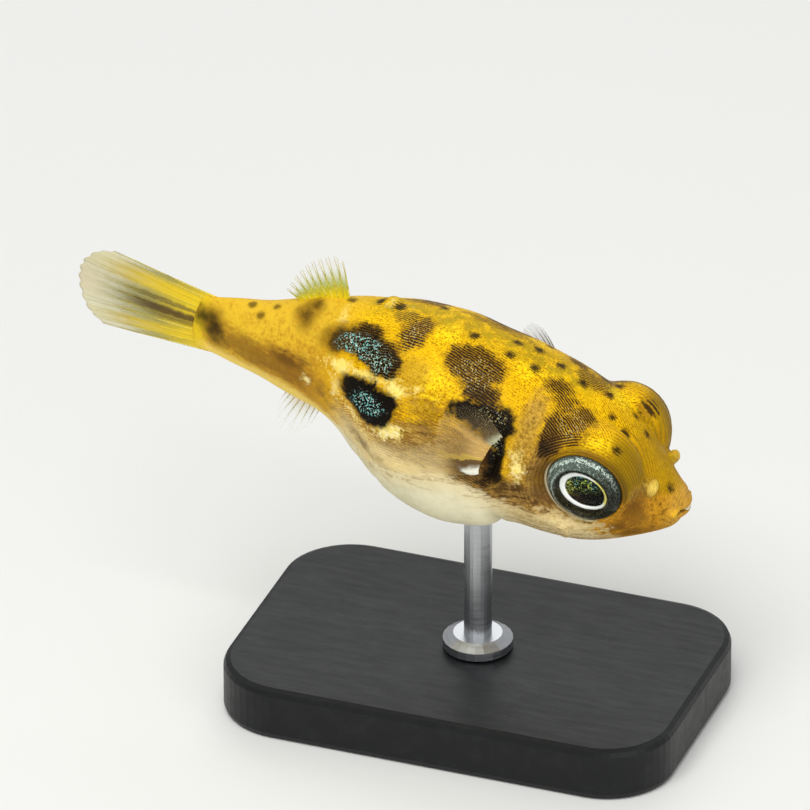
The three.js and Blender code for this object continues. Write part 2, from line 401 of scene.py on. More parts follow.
def knob_place(p, side):
    """Points' reach from a nostril knob's axis, as on a round knob, and height over its end's middle."""
    offset, aim = p - mirrored(NOSTRIL, side), mirrored(NOSTRIL_AIM, side)
    height = offset @ aim
    tailwards = np.array([1.0, 0, 0]) - aim[0] * aim
    tailwards /= np.linalg.norm(tailwards)
    upwards = np.cross(aim, tailwards)
    reach = np.hypot(offset @ tailwards / NOSTRIL_OVAL[0], offset @ upwards / NOSTRIL_OVAL[1])
    return reach, height


def knob_distance(p, side):
    """A short round-ended post."""
    reach, height = knob_place(p, side)
    return np.hypot(reach, np.clip(height, 0, None)) - NOSTRIL_RADIUS


def drawn_up_knob(p, side):
    """Points round a knob's foot, drawn in and up over it so that they cover it evenly."""
    reach, height = knob_place(p, side)
    aim = mirrored(NOSTRIL_AIM, side)
    foot = p - (height[:, None] * aim + mirrored(NOSTRIL, side))
    outwards = foot / np.maximum(reach, 1e-6)[:, None]
    path = reach / KNOB_CATCH * (NOSTRIL_RADIUS * math.pi / 2 + KNOB_SKIRT)
    bend = np.clip(path / NOSTRIL_RADIUS, 0, math.pi / 2)
    radial = NOSTRIL_RADIUS * np.sin(bend)
    level = NOSTRIL_RADIUS * np.cos(bend) - np.clip(path - NOSTRIL_RADIUS * math.pi / 2, 0, None)
    drawn = mirrored(NOSTRIL, side) + outwards * radial[:, None] + level[:, None] * aim
    beside_foot = np.abs(height) < KNOB_NEAR
    near = (reach < KNOB_CATCH) & beside_foot
    squeezed = (reach >= KNOB_CATCH) & (reach < KNOB_EASE) & beside_foot
    eased_share = (reach - KNOB_CATCH) / (KNOB_EASE - KNOB_CATCH)
    inwards = NOSTRIL_RADIUS + eased_share * (KNOB_EASE - NOSTRIL_RADIUS) - reach
    beside = p + outwards * inwards[:, None]
    return np.where(near[:, None], drawn, np.where(squeezed[:, None], beside, p))


print("nostril knobs", round(2 * NOSTRIL_RADIUS * NOSTRIL_OVAL[1], 2), "mm tall")

# %% [markdown]
# The direction straight out of the skin is the way in which the distance grows fastest. It is
# measured with small steps along each axis, and stepping back along it by the distance itself
# brings a point onto the skin. A few rounds are enough, because the field is nearly a true one.

# %% Melt the forms together
def melt(a, b, width):
    """The smaller of two distances, rounded where they are within a width of each other."""
    share = np.clip(0.5 + 0.5 * (b - a) / width, 0, 1)
    return b + (a - b) * share - width * share * (1 - share)


ORBIT_MELT, KNOB_MELT = 0.22, 0.2  # widths over which the domes and knobs flow into the head


def fish_distance(p):
    distance = body_distance(p)
    for side in (LEFT, RIGHT):
        orbit = np.linalg.norm(p - mirrored(ORBIT, side), axis=1) - ORBIT_RADIUS
        distance = melt(distance, orbit, ORBIT_MELT)
        distance = melt(distance, knob_distance(p, side), KNOB_MELT)
    return distance


def outwards_at(p, reach=1e-3):
    """Direction straight out of the skin, from how the distance changes along each axis."""
    slope = np.stack(
        [fish_distance(p + step) - fish_distance(p - step) for step in np.eye(3) * reach], 1
    )
    return slope / np.maximum(np.linalg.norm(slope, axis=1, keepdims=True), 1e-9)


def settled(p, rounds=5):
    """Points walked straight onto the skin."""
    for _ in range(rounds):
        p = p - outwards_at(p) * fish_distance(p)[:, None]
    return p


print("distance of the body axis from the skin:", fish_distance(np.array([[5.0, 0.0, 0.5]])))

# %% [markdown]
# ## Folds, lips and slits
#
# What the field leaves out is finer relief: the mouth slit with its rolled lips, the crease
# behind the chin, the gill slit, the crease where the throat meets the belly, the rim of skin
# round each eye. Each is a ridge or groove along a simple line, so it is a bell curve of the
# distance from that line, and all of them add up to one height over the smooth skin.

# %% Tools for relief
EYE_RIM = 1.73                     # radius at which the skin rolls up against the eyeball
FOLD_PERIOD = 0.17                 # distance between the fine folds round it


def bell(distance, width):
    return np.exp(-((distance / width) ** 2))


def rise(x, low, high):
    """Smooth step from 0 to 1."""
    t = np.clip((x - low) / (high - low), 0, 1)
    return t * t * (3 - 2 * t)


def eye_frame(side):
    """Centre of an orbit, the way its eye looks, and the eye's own upward direction."""
    cosine, sine = math.cos(LOOK_DOWN), math.sin(LOOK_DOWN)
    look = np.array([0.0, side * cosine, -sine])
    upright = np.array([0.0, side * sine, cosine])
    return mirrored(ORBIT, side), look, upright


def in_eye(p, side):
    """Forward and upward place of points in an eye's own round face, and their height on it."""
    centre, look, upright = eye_frame(side)
    offset = p - centre
    return -offset[:, 0], offset @ upright, offset @ look


def polyline_distance(p, places):
    """Distance of points from a line through a few places, and how far along it they are."""
    places = np.asarray(places, float)
    nearest = np.full(len(p), np.inf)
    along = np.zeros(len(p))
    for k, (a, b) in enumerate(zip(places[:-1], places[1:])):
        t = np.clip((p - a) @ (b - a) / ((b - a) @ (b - a)), 0, 1)
        distance = np.linalg.norm(p - a - t[:, None] * (b - a), axis=1)
        closer = distance < nearest
        nearest = np.where(closer, distance, nearest)
        along = np.where(closer, (k + t) / (len(places) - 1), along)
    return nearest, along


print("the left eye looks", np.round(eye_frame(LEFT)[1], 2))

# %% [markdown]
# The mouth of a puffer is a short level slit round the front of the snout, with a rolled lip on
# each side and a swollen fold of flesh at each corner. The gill slit is a short curved cut in
# front of the pectoral fin, under a slightly raised cover. Both are drawn as bell curves across
# a line, because a cut into the mesh would leave its edges sharp.

# %% Mouth and gills
def mouth_distance(p):
    """Distance from the mouth slit, which wraps round the snout and drops at its corners."""
    level = -0.08 - 0.3 * np.clip(p[:, 0], 0, None) ** 2
    past_corner = np.clip(p[:, 0] - 0.27, 0, None)
    return np.hypot(p[:, 2] - level, past_corner), p[:, 2] - level


def mouth_relief(p):
    distance, above = mouth_distance(p)
    front = rise(-p[:, 0], -1.5, -0.9)
    slit = -0.2 * bell(distance, 0.05)
    lips = 0.05 * bell(distance - 0.2, 0.12)
    upper_furrow = -0.035 * bell(distance - 0.46, 0.07) * rise(above, -0.05, 0.2)
    chin_furrow = -0.09 * bell(distance - 0.56, 0.09) * rise(-above, -0.05, 0.25)
    corner = corner_distance(p)
    cheek = 0.13 * bell(corner, 0.15) - 0.05 * bell(corner - 0.28, 0.07)
    return (slit + lips + upper_furrow + chin_furrow) * front + cheek


def corner_distance(p):
    """Distance from the fleshy fold behind the corner of the mouth, which is longer than high."""
    across = np.abs(p[:, 1]) - 0.84
    return np.sqrt(((p[:, 0] - 0.4) / 1.5) ** 2 + across**2 + (p[:, 2] + 0.1 + 0.2 * (p[:, 0] - 0.4)) ** 2)


GILL_SLIT = [(7.75, 3.3, 2.6), (7.6, 3.5, 1.95), (7.56, 3.6, 1.3), (7.62, 3.65, 0.75), (7.9, 3.7, 0.35)]


def gill_relief(p):
    both = np.abs(p) * (1, 1, 0) + p * (0, 0, 1)
    distance, along = polyline_distance(both, GILL_SLIT)
    slit = -0.26 * bell(distance, 0.1) * np.sin(math.pi * np.clip(along, 0.02, 0.98)) ** 0.5
    cover = 0.09 * bell(distance - 0.3, 0.2) * (both[:, 0] < 8.1)
    root, _ = polyline_distance(both, [(7.95, 3.55, 2.3), (8.05, 3.75, 0.9)])
    return slit + cover + 0.2 * bell(root, 0.34)


print("gill slit", round(GILL_SLIT[0][2] - GILL_SLIT[-1][2], 2), "mm high")

# %% [markdown]
# The rest of the body has the throat's crease, a small keel before the dorsal fin, raised beds
# under the fins, the vent, and a slow swelling that keeps the flanks from looking turned on a
# lathe. On the head, a valley parts the forehead from the dome over each eye.

# %% Body and brow
def body_relief(p):
    back, left, up = p.T
    under = rise(-up, 1.0, 2.6)
    throat = -0.2 * bell(back - 7.32 - 0.12 * left**2 / 4, 0.22) * under
    throat = throat + 0.06 * bell(back - 8.0, 0.5) * under
    keel = 0.28 * bell(left - 0.25, 0.36) * rise(up, 2.0, 3.0) * bell(back - 14.3, 0.45)
    fin_bed = 0.2 * bell(left, 0.42) * rise(up, 2.5, 3.2) * bell(back - 17.1, 0.95)
    anal_bed = 0.16 * bell(left, 0.4) * rise(-up, 0.6, 1.0) * bell(back - 17.1, 0.8)
    vent = -0.08 * bell(np.hypot(back - 15.9, left), 0.16) * rise(-up, 0.5, 1.0)
    swell = 0.035 * np.sin(back * 1.7 + up) * np.sin(up * 1.3 - back * 0.8 + 1.0) * rise(back, 4, 8)
    wrinkles = 0.02 * np.sin(7.0 * up + 2.2 * back) * bell(back - 13.4, 1.4) * rise(-up, -0.2, 1.2)
    return throat + keel + fin_bed + anal_bed + vent + swell + wrinkles


BROW_VALLEY = [(1.7, 1.2, 1.5), (2.3, 1.15, 2.15), (3.0, 1.0, 2.85), (3.9, 0.9, 3.35)]


def brow_relief(p):
    """The valley between the forehead and the dome over each eye."""
    both = np.abs(p) * (1, 1, 0) + p * (0, 0, 1)
    distance, along = polyline_distance(both, BROW_VALLEY)
    crown = 0.06 * bell(p[:, 1], 0.6) * bell(p[:, 0] - 2.8, 1.0) * rise(p[:, 2], 1.2, 2.0)
    return crown - 0.32 * bell(distance, 0.27) * np.sin(math.pi * np.clip(along, 0.06, 0.94))


print("brow valley through", len(BROW_VALLEY), "places")

# %% [markdown]
# Round each eye the skin rolls up into a thin rim with fine folds behind it. The head is wider
# behind the eye than at it, so the skin slopes down to the eye's edge; inside the rim it turns
# down round the eyeball and closes behind it, where a real socket would be.

# %% Nostrils and eye sockets
SOCKET_FLOOR = 0.55                # height at which the skin closes behind the eyeball
EDGE_HEIGHT = 1.26                 # height of the skin at the eye's edge, over the orbit's centre


def nostril_relief(p):
    """The opening in the end of each nostril knob."""
    total = np.zeros(len(p))
    for side in (LEFT, RIGHT):
        tip = mirrored(NOSTRIL + NOSTRIL_AIM * NOSTRIL_RADIUS, side)
        total = total - 0.09 * bell(np.linalg.norm(p - tip, axis=1), 0.1)
    return total


def eye_relief(p):
    total = np.zeros(len(p))
    for side in (LEFT, RIGHT):
        forward, upward, height = in_eye(p, side)
        radius = np.hypot(forward, upward)
        near = (height > 0.2) * rise(-radius, -3.0, -2.3)
        rim = 0.075 * bell(radius - EYE_RIM, 0.06) - 0.045 * bell(radius - EYE_RIM - 0.16, 0.06)
        folds = 0.02 * np.sin(math.tau * (radius - EYE_RIM) / FOLD_PERIOD) * rise(radius, 1.88, 2.03)
        total = total + near * (rim + folds * (0.6 + 0.4 * forward / 2))
    return total


def skin_relief(p):
    return (
        mouth_relief(p) + nostril_relief(p) + brow_relief(p) + gill_relief(p) + body_relief(p)
        + eye_relief(p)
    )


def sloped_to_eyes(p):
    """The skin round the eyes lowered to a cone that meets each eye's edge."""
    p = p.copy()
    for side in (LEFT, RIGHT):
        _, look, _ = eye_frame(side)
        forward, upward, height = in_eye(p, side)
        radius = np.hypot(forward, upward)
        slope = EDGE_HEIGHT + 0.45 * np.clip(radius - EYE_RIM, 0, None)
        above = np.clip(height - slope, 0, None)
        p -= (above * (1 - rise(radius, 1.75, 2.75)) * (height > 0.2))[:, None] * look
    return p


def sunk_under_eyes(p):
    """The skin inside each rim turned down and closed behind the eyeball."""
    p = p.copy()
    for side in (LEFT, RIGHT):
        _, look, _ = eye_frame(side)
        forward, upward, height = in_eye(p, side)
        radius = np.hypot(forward, upward)
        wall = rise(radius, 1.48, 1.67)
        lowered = SOCKET_FLOOR + (height - SOCKET_FLOOR) * wall
        drop = np.where((height > SOCKET_FLOOR) & (radius < 1.85), height - lowered, 0)
        p -= drop[:, None] * look
    return p


print("sockets", round(EDGE_HEIGHT - SOCKET_FLOOR, 2), "mm deep")

# %% [markdown]
# ## The skin mesh
#
# The grid of a sphere wraps the fish with one pole in the mouth and one hidden in the root of
# the tail fin, so there is no seam to hide, and its own flat map serves the pattern well. An
# even grid would waste points on the tail and starve the face. Two easing functions let the
# rings and the meridians linger over the mouth and the eyes.

# %% Where the rings and meridians go
RINGS, MERIDIANS = 338, 292

# Along the body: wanted gap between rings, in mm, at distances from the snout.
RING_GAPS = {0.0: 0.026, 0.6: 0.032, 1.1: 0.045, 1.9: 0.038, 2.2: 0.033, 5.8: 0.034, 6.6: 0.055,
             8.6: 0.085, 10.0: 0.125, 19.0: 0.14, 21.5: 0.1, 23.0: 0.05}
NOSE_ARC = 1.0                     # length of skin from the pole to where the snout is full
EYE_LEVEL = math.radians(14)       # angle of the eyes above the body's middle


def eased(density, start, stop):
    """A rising function from 0..1 to start..stop that lingers where the density is high."""
    x = np.linspace(start, stop, 6000)
    total = np.concatenate([[0], np.cumsum(density((x[1:] + x[:-1]) / 2))])
    return lambda t: np.interp(t, total / total[-1], x)


def back_along(path):
    """Distance from the snout, and how full the section is, after a length of skin."""
    straight = NOSE_ARC + BODY_LENGTH - SNOUT_ROUND
    nose = np.clip(path / NOSE_ARC, 0, 1) * math.pi / 2
    tail = np.clip((path - straight) / TAIL_ROUND, 0, 1) * math.pi / 2
    middle = np.clip(path - NOSE_ARC, 0, BODY_LENGTH - SNOUT_ROUND)
    back = SNOUT_ROUND * (1 - np.cos(nose)) + middle + TAIL_ROUND * np.sin(tail)
    return back, np.sin(nose) * np.cos(tail)


def ring_density(path):
    back, _ = back_along(path)
    return 1 / np.interp(back, list(RING_GAPS), list(RING_GAPS.values()))


def meridian_density(angle):
    """Over the left half, from straight below to straight above."""
    return 1 + 1.6 * bell(angle - EYE_LEVEL, 0.62)


PATH_LENGTH = NOSE_ARC + BODY_LENGTH - SNOUT_ROUND + TAIL_ROUND
path_at = eased(ring_density, 0, PATH_LENGTH)
angle_at = eased(meridian_density, -math.pi / 2, math.pi / 2)
print("half of all rings lie ahead of", round(float(back_along(path_at(0.5))[0]), 1), "mm from the snout")

# %% [markdown]
# Now the sphere's vertices are laid along the body by their ring and meridian, pushed out onto
# the orbits and up the knobs, and walked onto the field. The sphere brings its flat map along,
# so the skin needs no unwrapping. It is turned onto the body and never mirrored, as mirrored
# faces would look inwards.

# %% Wrap a sphere round the fish
ball = bmesh.new()
ball.loops.layers.uv.new("OFBake")
bmesh.ops.create_uvsphere(ball, u_segments=MERIDIANS, v_segments=RINGS, radius=1, calc_uvs=True)
skin_mesh = mesh_of("skin", ball, outwards=False)

unit = points_of(skin_mesh)
along = np.arccos(np.clip(unit[:, 2], -1, 1)) / math.pi
turn = np.arctan2(-unit[:, 1], -unit[:, 0])  # 0 straight up, positive over the left side
lifted = angle_at(1 - np.abs(turn) / math.pi)
angle = np.where(turn >= 0, lifted, math.pi - lifted)

back, fullness = back_along(path_at(along))
middle, half, side = outline(back)
skin = np.stack([back, side * fullness * np.cos(angle), middle + half * fullness * np.sin(angle)], 1)

for sign in (LEFT, RIGHT):
    offset = skin - mirrored(ORBIT, sign)
    reach = np.linalg.norm(offset, axis=1)
    inside = reach < ORBIT_RADIUS
    skin[inside] += offset[inside] * (ORBIT_RADIUS / reach[inside] - 1)[:, None]
    skin = drawn_up_knob(skin, sign)

skin = settled(skin)
smooth_skin = skin.copy()
skin = skin + outwards_at(skin) * skin_relief(skin)[:, None]
skin = sunk_under_eyes(sloped_to_eyes(skin))
move_points(skin_mesh, skin)
off_field = np.abs(fish_distance(smooth_skin)).max()
print(f"skin: {len(skin)} points, off the field by at most {off_field:.4f} mm")

# %% [markdown]
# ## Markings
#
# The fish wears dark saddles and blotches over gold. Painting them as an image would tie them
# to one map; random noise would put them in the wrong places. So each mark is an ellipse lying
# in the skin's tangent plane, with a soft union joining neighbours into lobed shapes. Its value
# is stored on the vertices as millimetres inside the edge, and the material roughens and
# breaks up that edge later. A mark is given by its place on the fish's right side, its half
# lengths along and across the body, and its tilt. The left side has the same marks, moved and
# resized a little, because no two flanks of a real fish match.

# %% Marks as fields
SIDE_CHANCE = np.random.default_rng(12)
SIDE_SHIFT, SIDE_GROWTH = 0.22, (0.85, 1.15)       # most that a left mark is moved, mm, and resized
PAIRED_FROM = -0.5                 # marks nearer the midline than this stay single
HIGH_UP, SPLAY = 3.8, 0.35         # left marks over this height lie further out by this much, mm
FAR_OUTSIDE = -9.0                 # depth to start from, outside every mark
THROUGH = 1.3                      # how far off its own plane the skin still takes a mark, mm
STRENGTH_BLEND = 0.15              # distance over which neighbours' strengths mix, mm


def mark(back, left, up, along, across, tilt=0, strength=1.0):
    return {
        "at": (back, left, up), "size": (along, across), "tilt": math.radians(tilt), "strength": strength,
    }


def both_sides(marks):
    """The marks of the right side and their like on the left; those on the back stay single."""
    pairs = list(marks)
    for one in marks:
        back, left, up = one["at"]
        if left < PAIRED_FROM:
            shift = SIDE_CHANCE.uniform(-SIDE_SHIFT, SIDE_SHIFT, 2)
            grow = SIDE_CHANCE.uniform(*SIDE_GROWTH, 2)
            size = tuple(np.multiply(one["size"], grow))
            splay = SPLAY if up > HIGH_UP else 0.0
            pairs.append({**one, "at": (back + shift[0], splay - left, up + shift[1]), "size": size})
    return pairs


def marks_field(points, marks, width=0.3):
    """How far inside the nearest mark each point lies, in mm, and the strength of the marks there."""
    centres = settled(np.array([one["at"] for one in marks], float))
    normals = outwards_at(centres)
    depth = np.full(len(points), FAR_OUTSIDE)
    weights = np.full(len(points), 1e-9)
    strengths = np.full(len(points), 1e-9)
    for one, centre, normal in zip(marks, centres, normals):
        tailwards = np.array([1.0, 0, 0]) - normal * normal[0]
        tailwards /= np.linalg.norm(tailwards)
        upwards = np.cross(normal, tailwards) * (1 if centre[1] < 0.05 else -1)
        cosine, sine = math.cos(one["tilt"]), math.sin(one["tilt"])
        offset = points - centre
        a, b = offset @ tailwards, offset @ upwards
        along, across = one["size"]
        reach = np.hypot((a * cosine + b * sine) / along, (b * cosine - a * sine) / across)
        inside = (1 - reach) * min(along, across)
        inside -= np.clip(np.abs(offset @ normal) - THROUGH, 0, None)
        depth = -melt(-depth, -inside, width)
        weight = np.exp(np.clip(inside / STRENGTH_BLEND, -30, 12))
        weights += weight
        strengths += weight * one["strength"]
    return depth, strengths / weights


print("a mark holds:", ", ".join(sorted(mark(0, 0, 0, 1, 1))))

# %% [markdown]
# The dark blotches come first, in rows from the nape to the root of the tail fin. A strength
# over 1 makes a mark solid black; a weaker one lets the gold between the ridges through. The
# round spots on the head and back are small marks of equal half lengths.

# %% Blotches and spots
BLOTCHES = both_sides([
    mark(5.2, 0.55, 3.95, 0.85, 0.6, 10, 0.55),      # olive saddle on the nape
    mark(9.9, 0.95, 4.7, 1.3, 0.28, 0, 0.5),         # and on the back
    mark(6.25, -1.05, 4.12, 0.6, 0.42, 0, 0.8),      # three patches stepping down behind the eye
    mark(5.75, -1.5, 3.85, 0.5, 0.35, 0, 0.55),
    mark(4.75, -1.55, 3.55, 0.55, 0.42, 0, 0.85),
    mark(5.2, -2.1, 3.35, 0.6, 0.4, 0, 0.7),
    mark(5.8, -2.7, 2.85, 0.5, 0.95, -8, 1.0),
    mark(5.85, -3.0, 2.4, 0.42, 0.42, 0, 1.25),
    mark(5.0, -2.5, 2.8, 0.6, 0.4, 0, 0.62),
    # dark olive on the far dome, partly a mark and partly painted shade in the brow valley
    mark(2.85, 1.36, 3.0, 0.36, 0.5, 0, 0.57),       # on the far dome
    mark(9.75, -1.8, 4.3, 1.3, 0.92, 0, 0.9),        # great blotch over the shoulder
    mark(9.2, -2.6, 3.6, 0.85, 0.55, 0, 1.1),
    mark(9.0, -3.1, 2.85, 1.3, 0.58, 0, 1.4),
    mark(7.85, -3.1, 2.7, 0.55, 0.75, 0, 1.35),
    mark(7.7, -3.6, 1.5, 0.33, 0.85, 0, 1.5),        # round the gill slit
    mark(7.6, -3.65, 0.7, 0.4, 0.45, 0, 1.3),
    mark(8.2, -3.75, 0.2, 0.65, 0.2, -10, 1.1),
    mark(12.7, -1.3, 4.5, 0.55, 0.95, 12, 0.8),      # behind the back's highest point
    mark(13.3, -0.65, 4.7, 0.5, 0.3, 0, 0.5),
    mark(15.6, -1.6, 3.25, 0.95, 0.6, -8, 1.1),      # upper cold-flecked blotch
    mark(14.8, -1.5, 3.95, 0.75, 0.4, -10, 1.15),
    mark(14.45, -2.0, 3.65, 0.8, 0.72, 0, 1.2),
    mark(13.55, -2.4, 3.45, 0.8, 0.72, 0, 1.2),
    mark(13.2, -2.6, 3.4, 0.5, 0.5, 0, 1.25),
    mark(13.4, -3.2, 1.65, 1.12, 0.88, 0, 1.45),     # lower cold-flecked blotch
    mark(14.25, -2.9, 1.87, 1.0, 0.64, -8, 1.45),
    mark(14.75, -2.6, 1.9, 0.45, 0.4, 0, 1.45),
    mark(12.85, -3.35, 2.05, 0.4, 0.4, 0, 1.45),
    mark(17.35, -0.4, 3.6, 0.35, 0.4, -30, 1.1),     # foot of the dorsal fin
    mark(17.65, -0.8, 3.2, 0.4, 0.55, -30, 0.7),
    mark(21.6, -0.5, 0.95, 0.52, 0.78, -15, 1.25),   # bar at the root of the tail fin
    mark(22.1, -0.35, 1.2, 0.9, 0.42, 8, 1.3),
])

SPOT_PLACES = [                    # distance back, left and up, and radius
    (3.02, -2.41, 2.95, 0.16), (3.13, -0.88, 2.95, 0.17), (3.86, -0.71, 3.39, 0.16),
    (2.48, 0.13, 2.52, 0.14), (3.16, 0.38, 3.03, 0.13), (4.42, 0.29, 3.71, 0.2),
    (4.42, 1.67, 3.33, 0.2), (5.51, -0.13, 4.09, 0.2), (6.67, 0.18, 4.38, 0.2),
    (7.78, 0.54, 4.56, 0.2), (7.52, -0.74, 4.47, 0.2), (8.7, -0.7, 4.65, 0.18),
    (8.71, 0.27, 4.71, 0.17), (10.38, -0.53, 4.87, 0.2), (13.89, -0.13, 4.7, 0.24),
    (12.23, 0.83, 4.81, 0.18), (14.77, 0.11, 4.54, 0.2), (15.97, -0.03, 4.21, 0.17),
    (20.16, -0.25, 2.55, 0.15), (19.62, -0.67, 2.44, 0.17), (19.07, -0.32, 2.91, 0.14),
    (0.85, -0.56, 0.86, 0.15), (3.3, -1.35, 2.3, 0.1), (6.5, 2.1, 3.7, 0.2),
    (7.6, 1.6, 4.1, 0.18), (8.2, 2.5, 3.6, 0.2), (11.2, 1.9, 4.3, 0.2), (16.3, 0.9, 3.6, 0.18),
]
SPOTS = [mark(back, left, up, size, size) for back, left, up, size in SPOT_PLACES]
print(len(BLOTCHES), "blotches,", len(SPOTS), "spots")

# %% [markdown]
# Between the blotches the skin pales to cream or darkens to brown, two blotches carry cold
# blue-green flecks, and some places of the gold get painted highlights. Each kind is a field of
# its own, so that the finish can treat it in its own way.

# %% Pale, brown, flecked and highlighted places
PALE_PATCHES = both_sides([
    mark(14.1, -2.75, 2.68, 1.9, 0.26, -5, 1.0),     # band between the two cold-flecked blotches
    mark(15.3, -2.3, 2.45, 0.5, 0.4, 0, 0.9),
    mark(12.6, -3.2, 2.75, 0.5, 0.32, 0, 1.1),
    mark(12.5, -3.6, 1.0, 0.75, 0.4, -20, 1.1),      # round the lower blotch
    mark(14.2, -2.95, 0.75, 0.9, 0.2, 32, 0.7),
    mark(15.4, -2.4, 1.4, 0.25, 0.5, 0, 0.7),
    mark(6.75, -3.5, 1.15, 0.3, 0.5, 0, 1.0),        # cheek ahead of the gill slit
    mark(7.0, -3.45, 1.9, 0.28, 0.3, 0, 0.5),
    mark(16.8, -1.84, 0.85, 0.22, 0.2, 0, 0.9),
    mark(16.0, -0.9, 4.05, 0.25, 0.5, 0, 0.55),
    mark(14.2, 0.0, 4.9, 0.5, 0.2, 0, 0.7),          # the small keel before the dorsal fin
])
BROWN_PATCHES = both_sides([
    mark(18.9, -1.25, 0.85, 3.3, 0.52, 0, 0.8),      # lower half of the tail stalk
    mark(17.95, -1.55, 1.25, 1.0, 0.5, -8, 1.07),
    mark(8.05, -3.7, 1.35, 0.42, 1.15, 0, 1.3),
    # brown under and behind the eye, partly painted shade under it
    mark(6.1, -3.4, 0.05, 1.7, 0.55, 0, 1.0),        # under and behind the eye
    mark(5.95, -3.35, 1.4, 0.5, 0.9, 10, 0.85),
    mark(7.4, -3.6, 0.0, 0.9, 0.3, 0, 0.9),
    mark(11.2, -3.8, 0.9, 2.2, 0.9, 0, 0.55),        # flank
    mark(10.9, -3.75, 1.6, 0.5, 0.5, 0, 1.0),
    mark(7.0, -3.3, 2.6, 0.35, 0.9, 10, 0.2),        # shade ahead of the gill slit
    # painted shade on the upper flank
    mark(12.3, -2.9, 3.3, 1.0, 1.0, 0, 0.4),
    mark(12.9, -3.4, 2.3, 0.5, 0.4, 0, 0.3),
    mark(13.8, -3.05, -0.3, 1.1, 0.2, 15, 0.8),
    mark(8.6, -3.75, 0.6, 1.0, 0.7, 0, 0.9),
    mark(1.85, -2.0, 0.3, 0.45, 0.6, 0, 1.0),        # ahead of the eye and down to the chin
    mark(1.75, -1.85, -0.3, 0.4, 0.45, 0, 0.8),
    mark(2.35, -2.15, -0.8, 0.5, 0.35, 0, 1.1),
    mark(2.0, -1.55, -1.3, 0.8, 0.3, 0, 1.0),
    mark(11.2, -3.45, 2.5, 1.1, 0.45, 0, 0.55),
    mark(7.95, -3.75, 0.95, 0.35, 0.8, 0, 1.4),
])
COLD_FLECKS = both_sides([
    mark(15.2, -1.75, 3.3, 0.6, 0.35, 0, 0.9), mark(14.5, -2.0, 3.5, 0.65, 0.5, 0, 0.92),
    mark(13.8, -2.4, 3.3, 0.65, 0.5, 0, 0.84), mark(13.7, -3.1, 1.65, 0.75, 0.42, 0, 1.0),
    mark(9.6, -2.0, 4.0, 0.9, 0.8, 0, 0.5), mark(8.3, -3.1, 2.95, 0.6, 0.4, 0, 0.55),
    mark(5.15, -2.1, 3.3, 0.55, 0.7, 0, 0.4), mark(7.7, -3.5, 1.95, 0.2, 0.3, 0, 0.7),
    mark(12.7, -1.3, 4.5, 0.5, 0.8, 0, 0.35),
])
# places where the gold gets a painted highlight
PAINTED_HIGHLIGHTS = both_sides([
    mark(10.75, -3.0, 3.35, 0.7, 0.6), mark(3.9, -2.7, 3.1, 0.8, 0.4), mark(3.9, 0.75, 3.4, 0.7, 0.5),
    mark(7.6, -0.9, 4.35, 0.9, 0.6), mark(11.3, -1.0, 4.8, 0.6, 0.6), mark(19.9, -0.8, 1.9, 1.2, 0.5),
])
print(len(PALE_PATCHES), "pale and", len(BROWN_PATCHES), "brown patches")

# %% [markdown]
# The white belly has one long edge, so it is drawn as a height at each distance from the snout
# and not as ellipses. The same cell measures two things for the skin's grain: the girth from
# the middle of the back down each side, and how far a point lies from each eye's middle.

# %% Measure the skin
BELLY_EDGE = {2.1: -2.4, 2.45: -1.3, 2.87: -0.62, 3.6: -0.5, 4.2: -0.5, 5.0: -0.66, 6.0: -0.72,
              7.0: -0.65, 7.8: -0.45, 8.6: -0.1, 9.4: 0.05, 10.2: -0.05, 11.0: -0.35, 12.1: -0.75,
              13.3: -1.02, 14.4: -0.8, 15.6: -0.38, 17.5: 0.12, 19.6: 0.08, 20.6: 0.1, 22.0: 0.0}

back, left, up = smooth_skin.T
middle, half, side = outline(back)
belly = np.interp(back, list(BELLY_EDGE), list(BELLY_EDGE.values())) - up
from_top = np.arctan2(np.abs(left) / side, (up - middle) / half)
girth = from_top * np.sqrt((half**2 + side**2) / 2)

lids = np.full((len(skin), 3), 9.0)      # forward and upward of the near eye's middle, and how far
for sign in (LEFT, RIGHT):
    forward, upward, height = in_eye(smooth_skin, sign)
    radius = np.hypot(forward, upward) + 0.8 * np.clip(EDGE_HEIGHT - height, 0, None)
    closer = (height > -1.4) & (radius < lids[:, 2])
    lids = np.where(closer[:, None], np.stack([forward, upward, radius], 1), lids)

# Phase of the ridges: nearly along the body on the flank, steeper from the shoulder forwards.
turning = (np.clip(8 - back, 0, None) ** 2 - np.clip(5 - back, 0, None) ** 2) / 6
ridge_phase = girth + 0.12 * back - 0.48 * turning
print("share of skin that is belly:", round(float(np.mean(belly > 0)), 3))

# %% [markdown]
# The fields are worked out once for each vertex and stored three at a time as vectors, because
# a material reads one vector as cheaply as one number. The small places that get a touch of
# their own are stored in the same way: the warm snout, the nostril knobs, the fold at the corner
# of the mouth, and the painted shade in the slits.

# %% Store the markings on the skin
blotch, solid = marks_field(smooth_skin, BLOTCHES)
spot, _ = marks_field(smooth_skin, SPOTS, 0.05)
pale, pale_strength = marks_field(smooth_skin, PALE_PATCHES)
brown, brown_strength = marks_field(smooth_skin, BROWN_PATCHES)
fleck, fleck_strength = marks_field(smooth_skin, COLD_FLECKS)
highlight_depth, _ = marks_field(smooth_skin, PAINTED_HIGHLIGHTS)

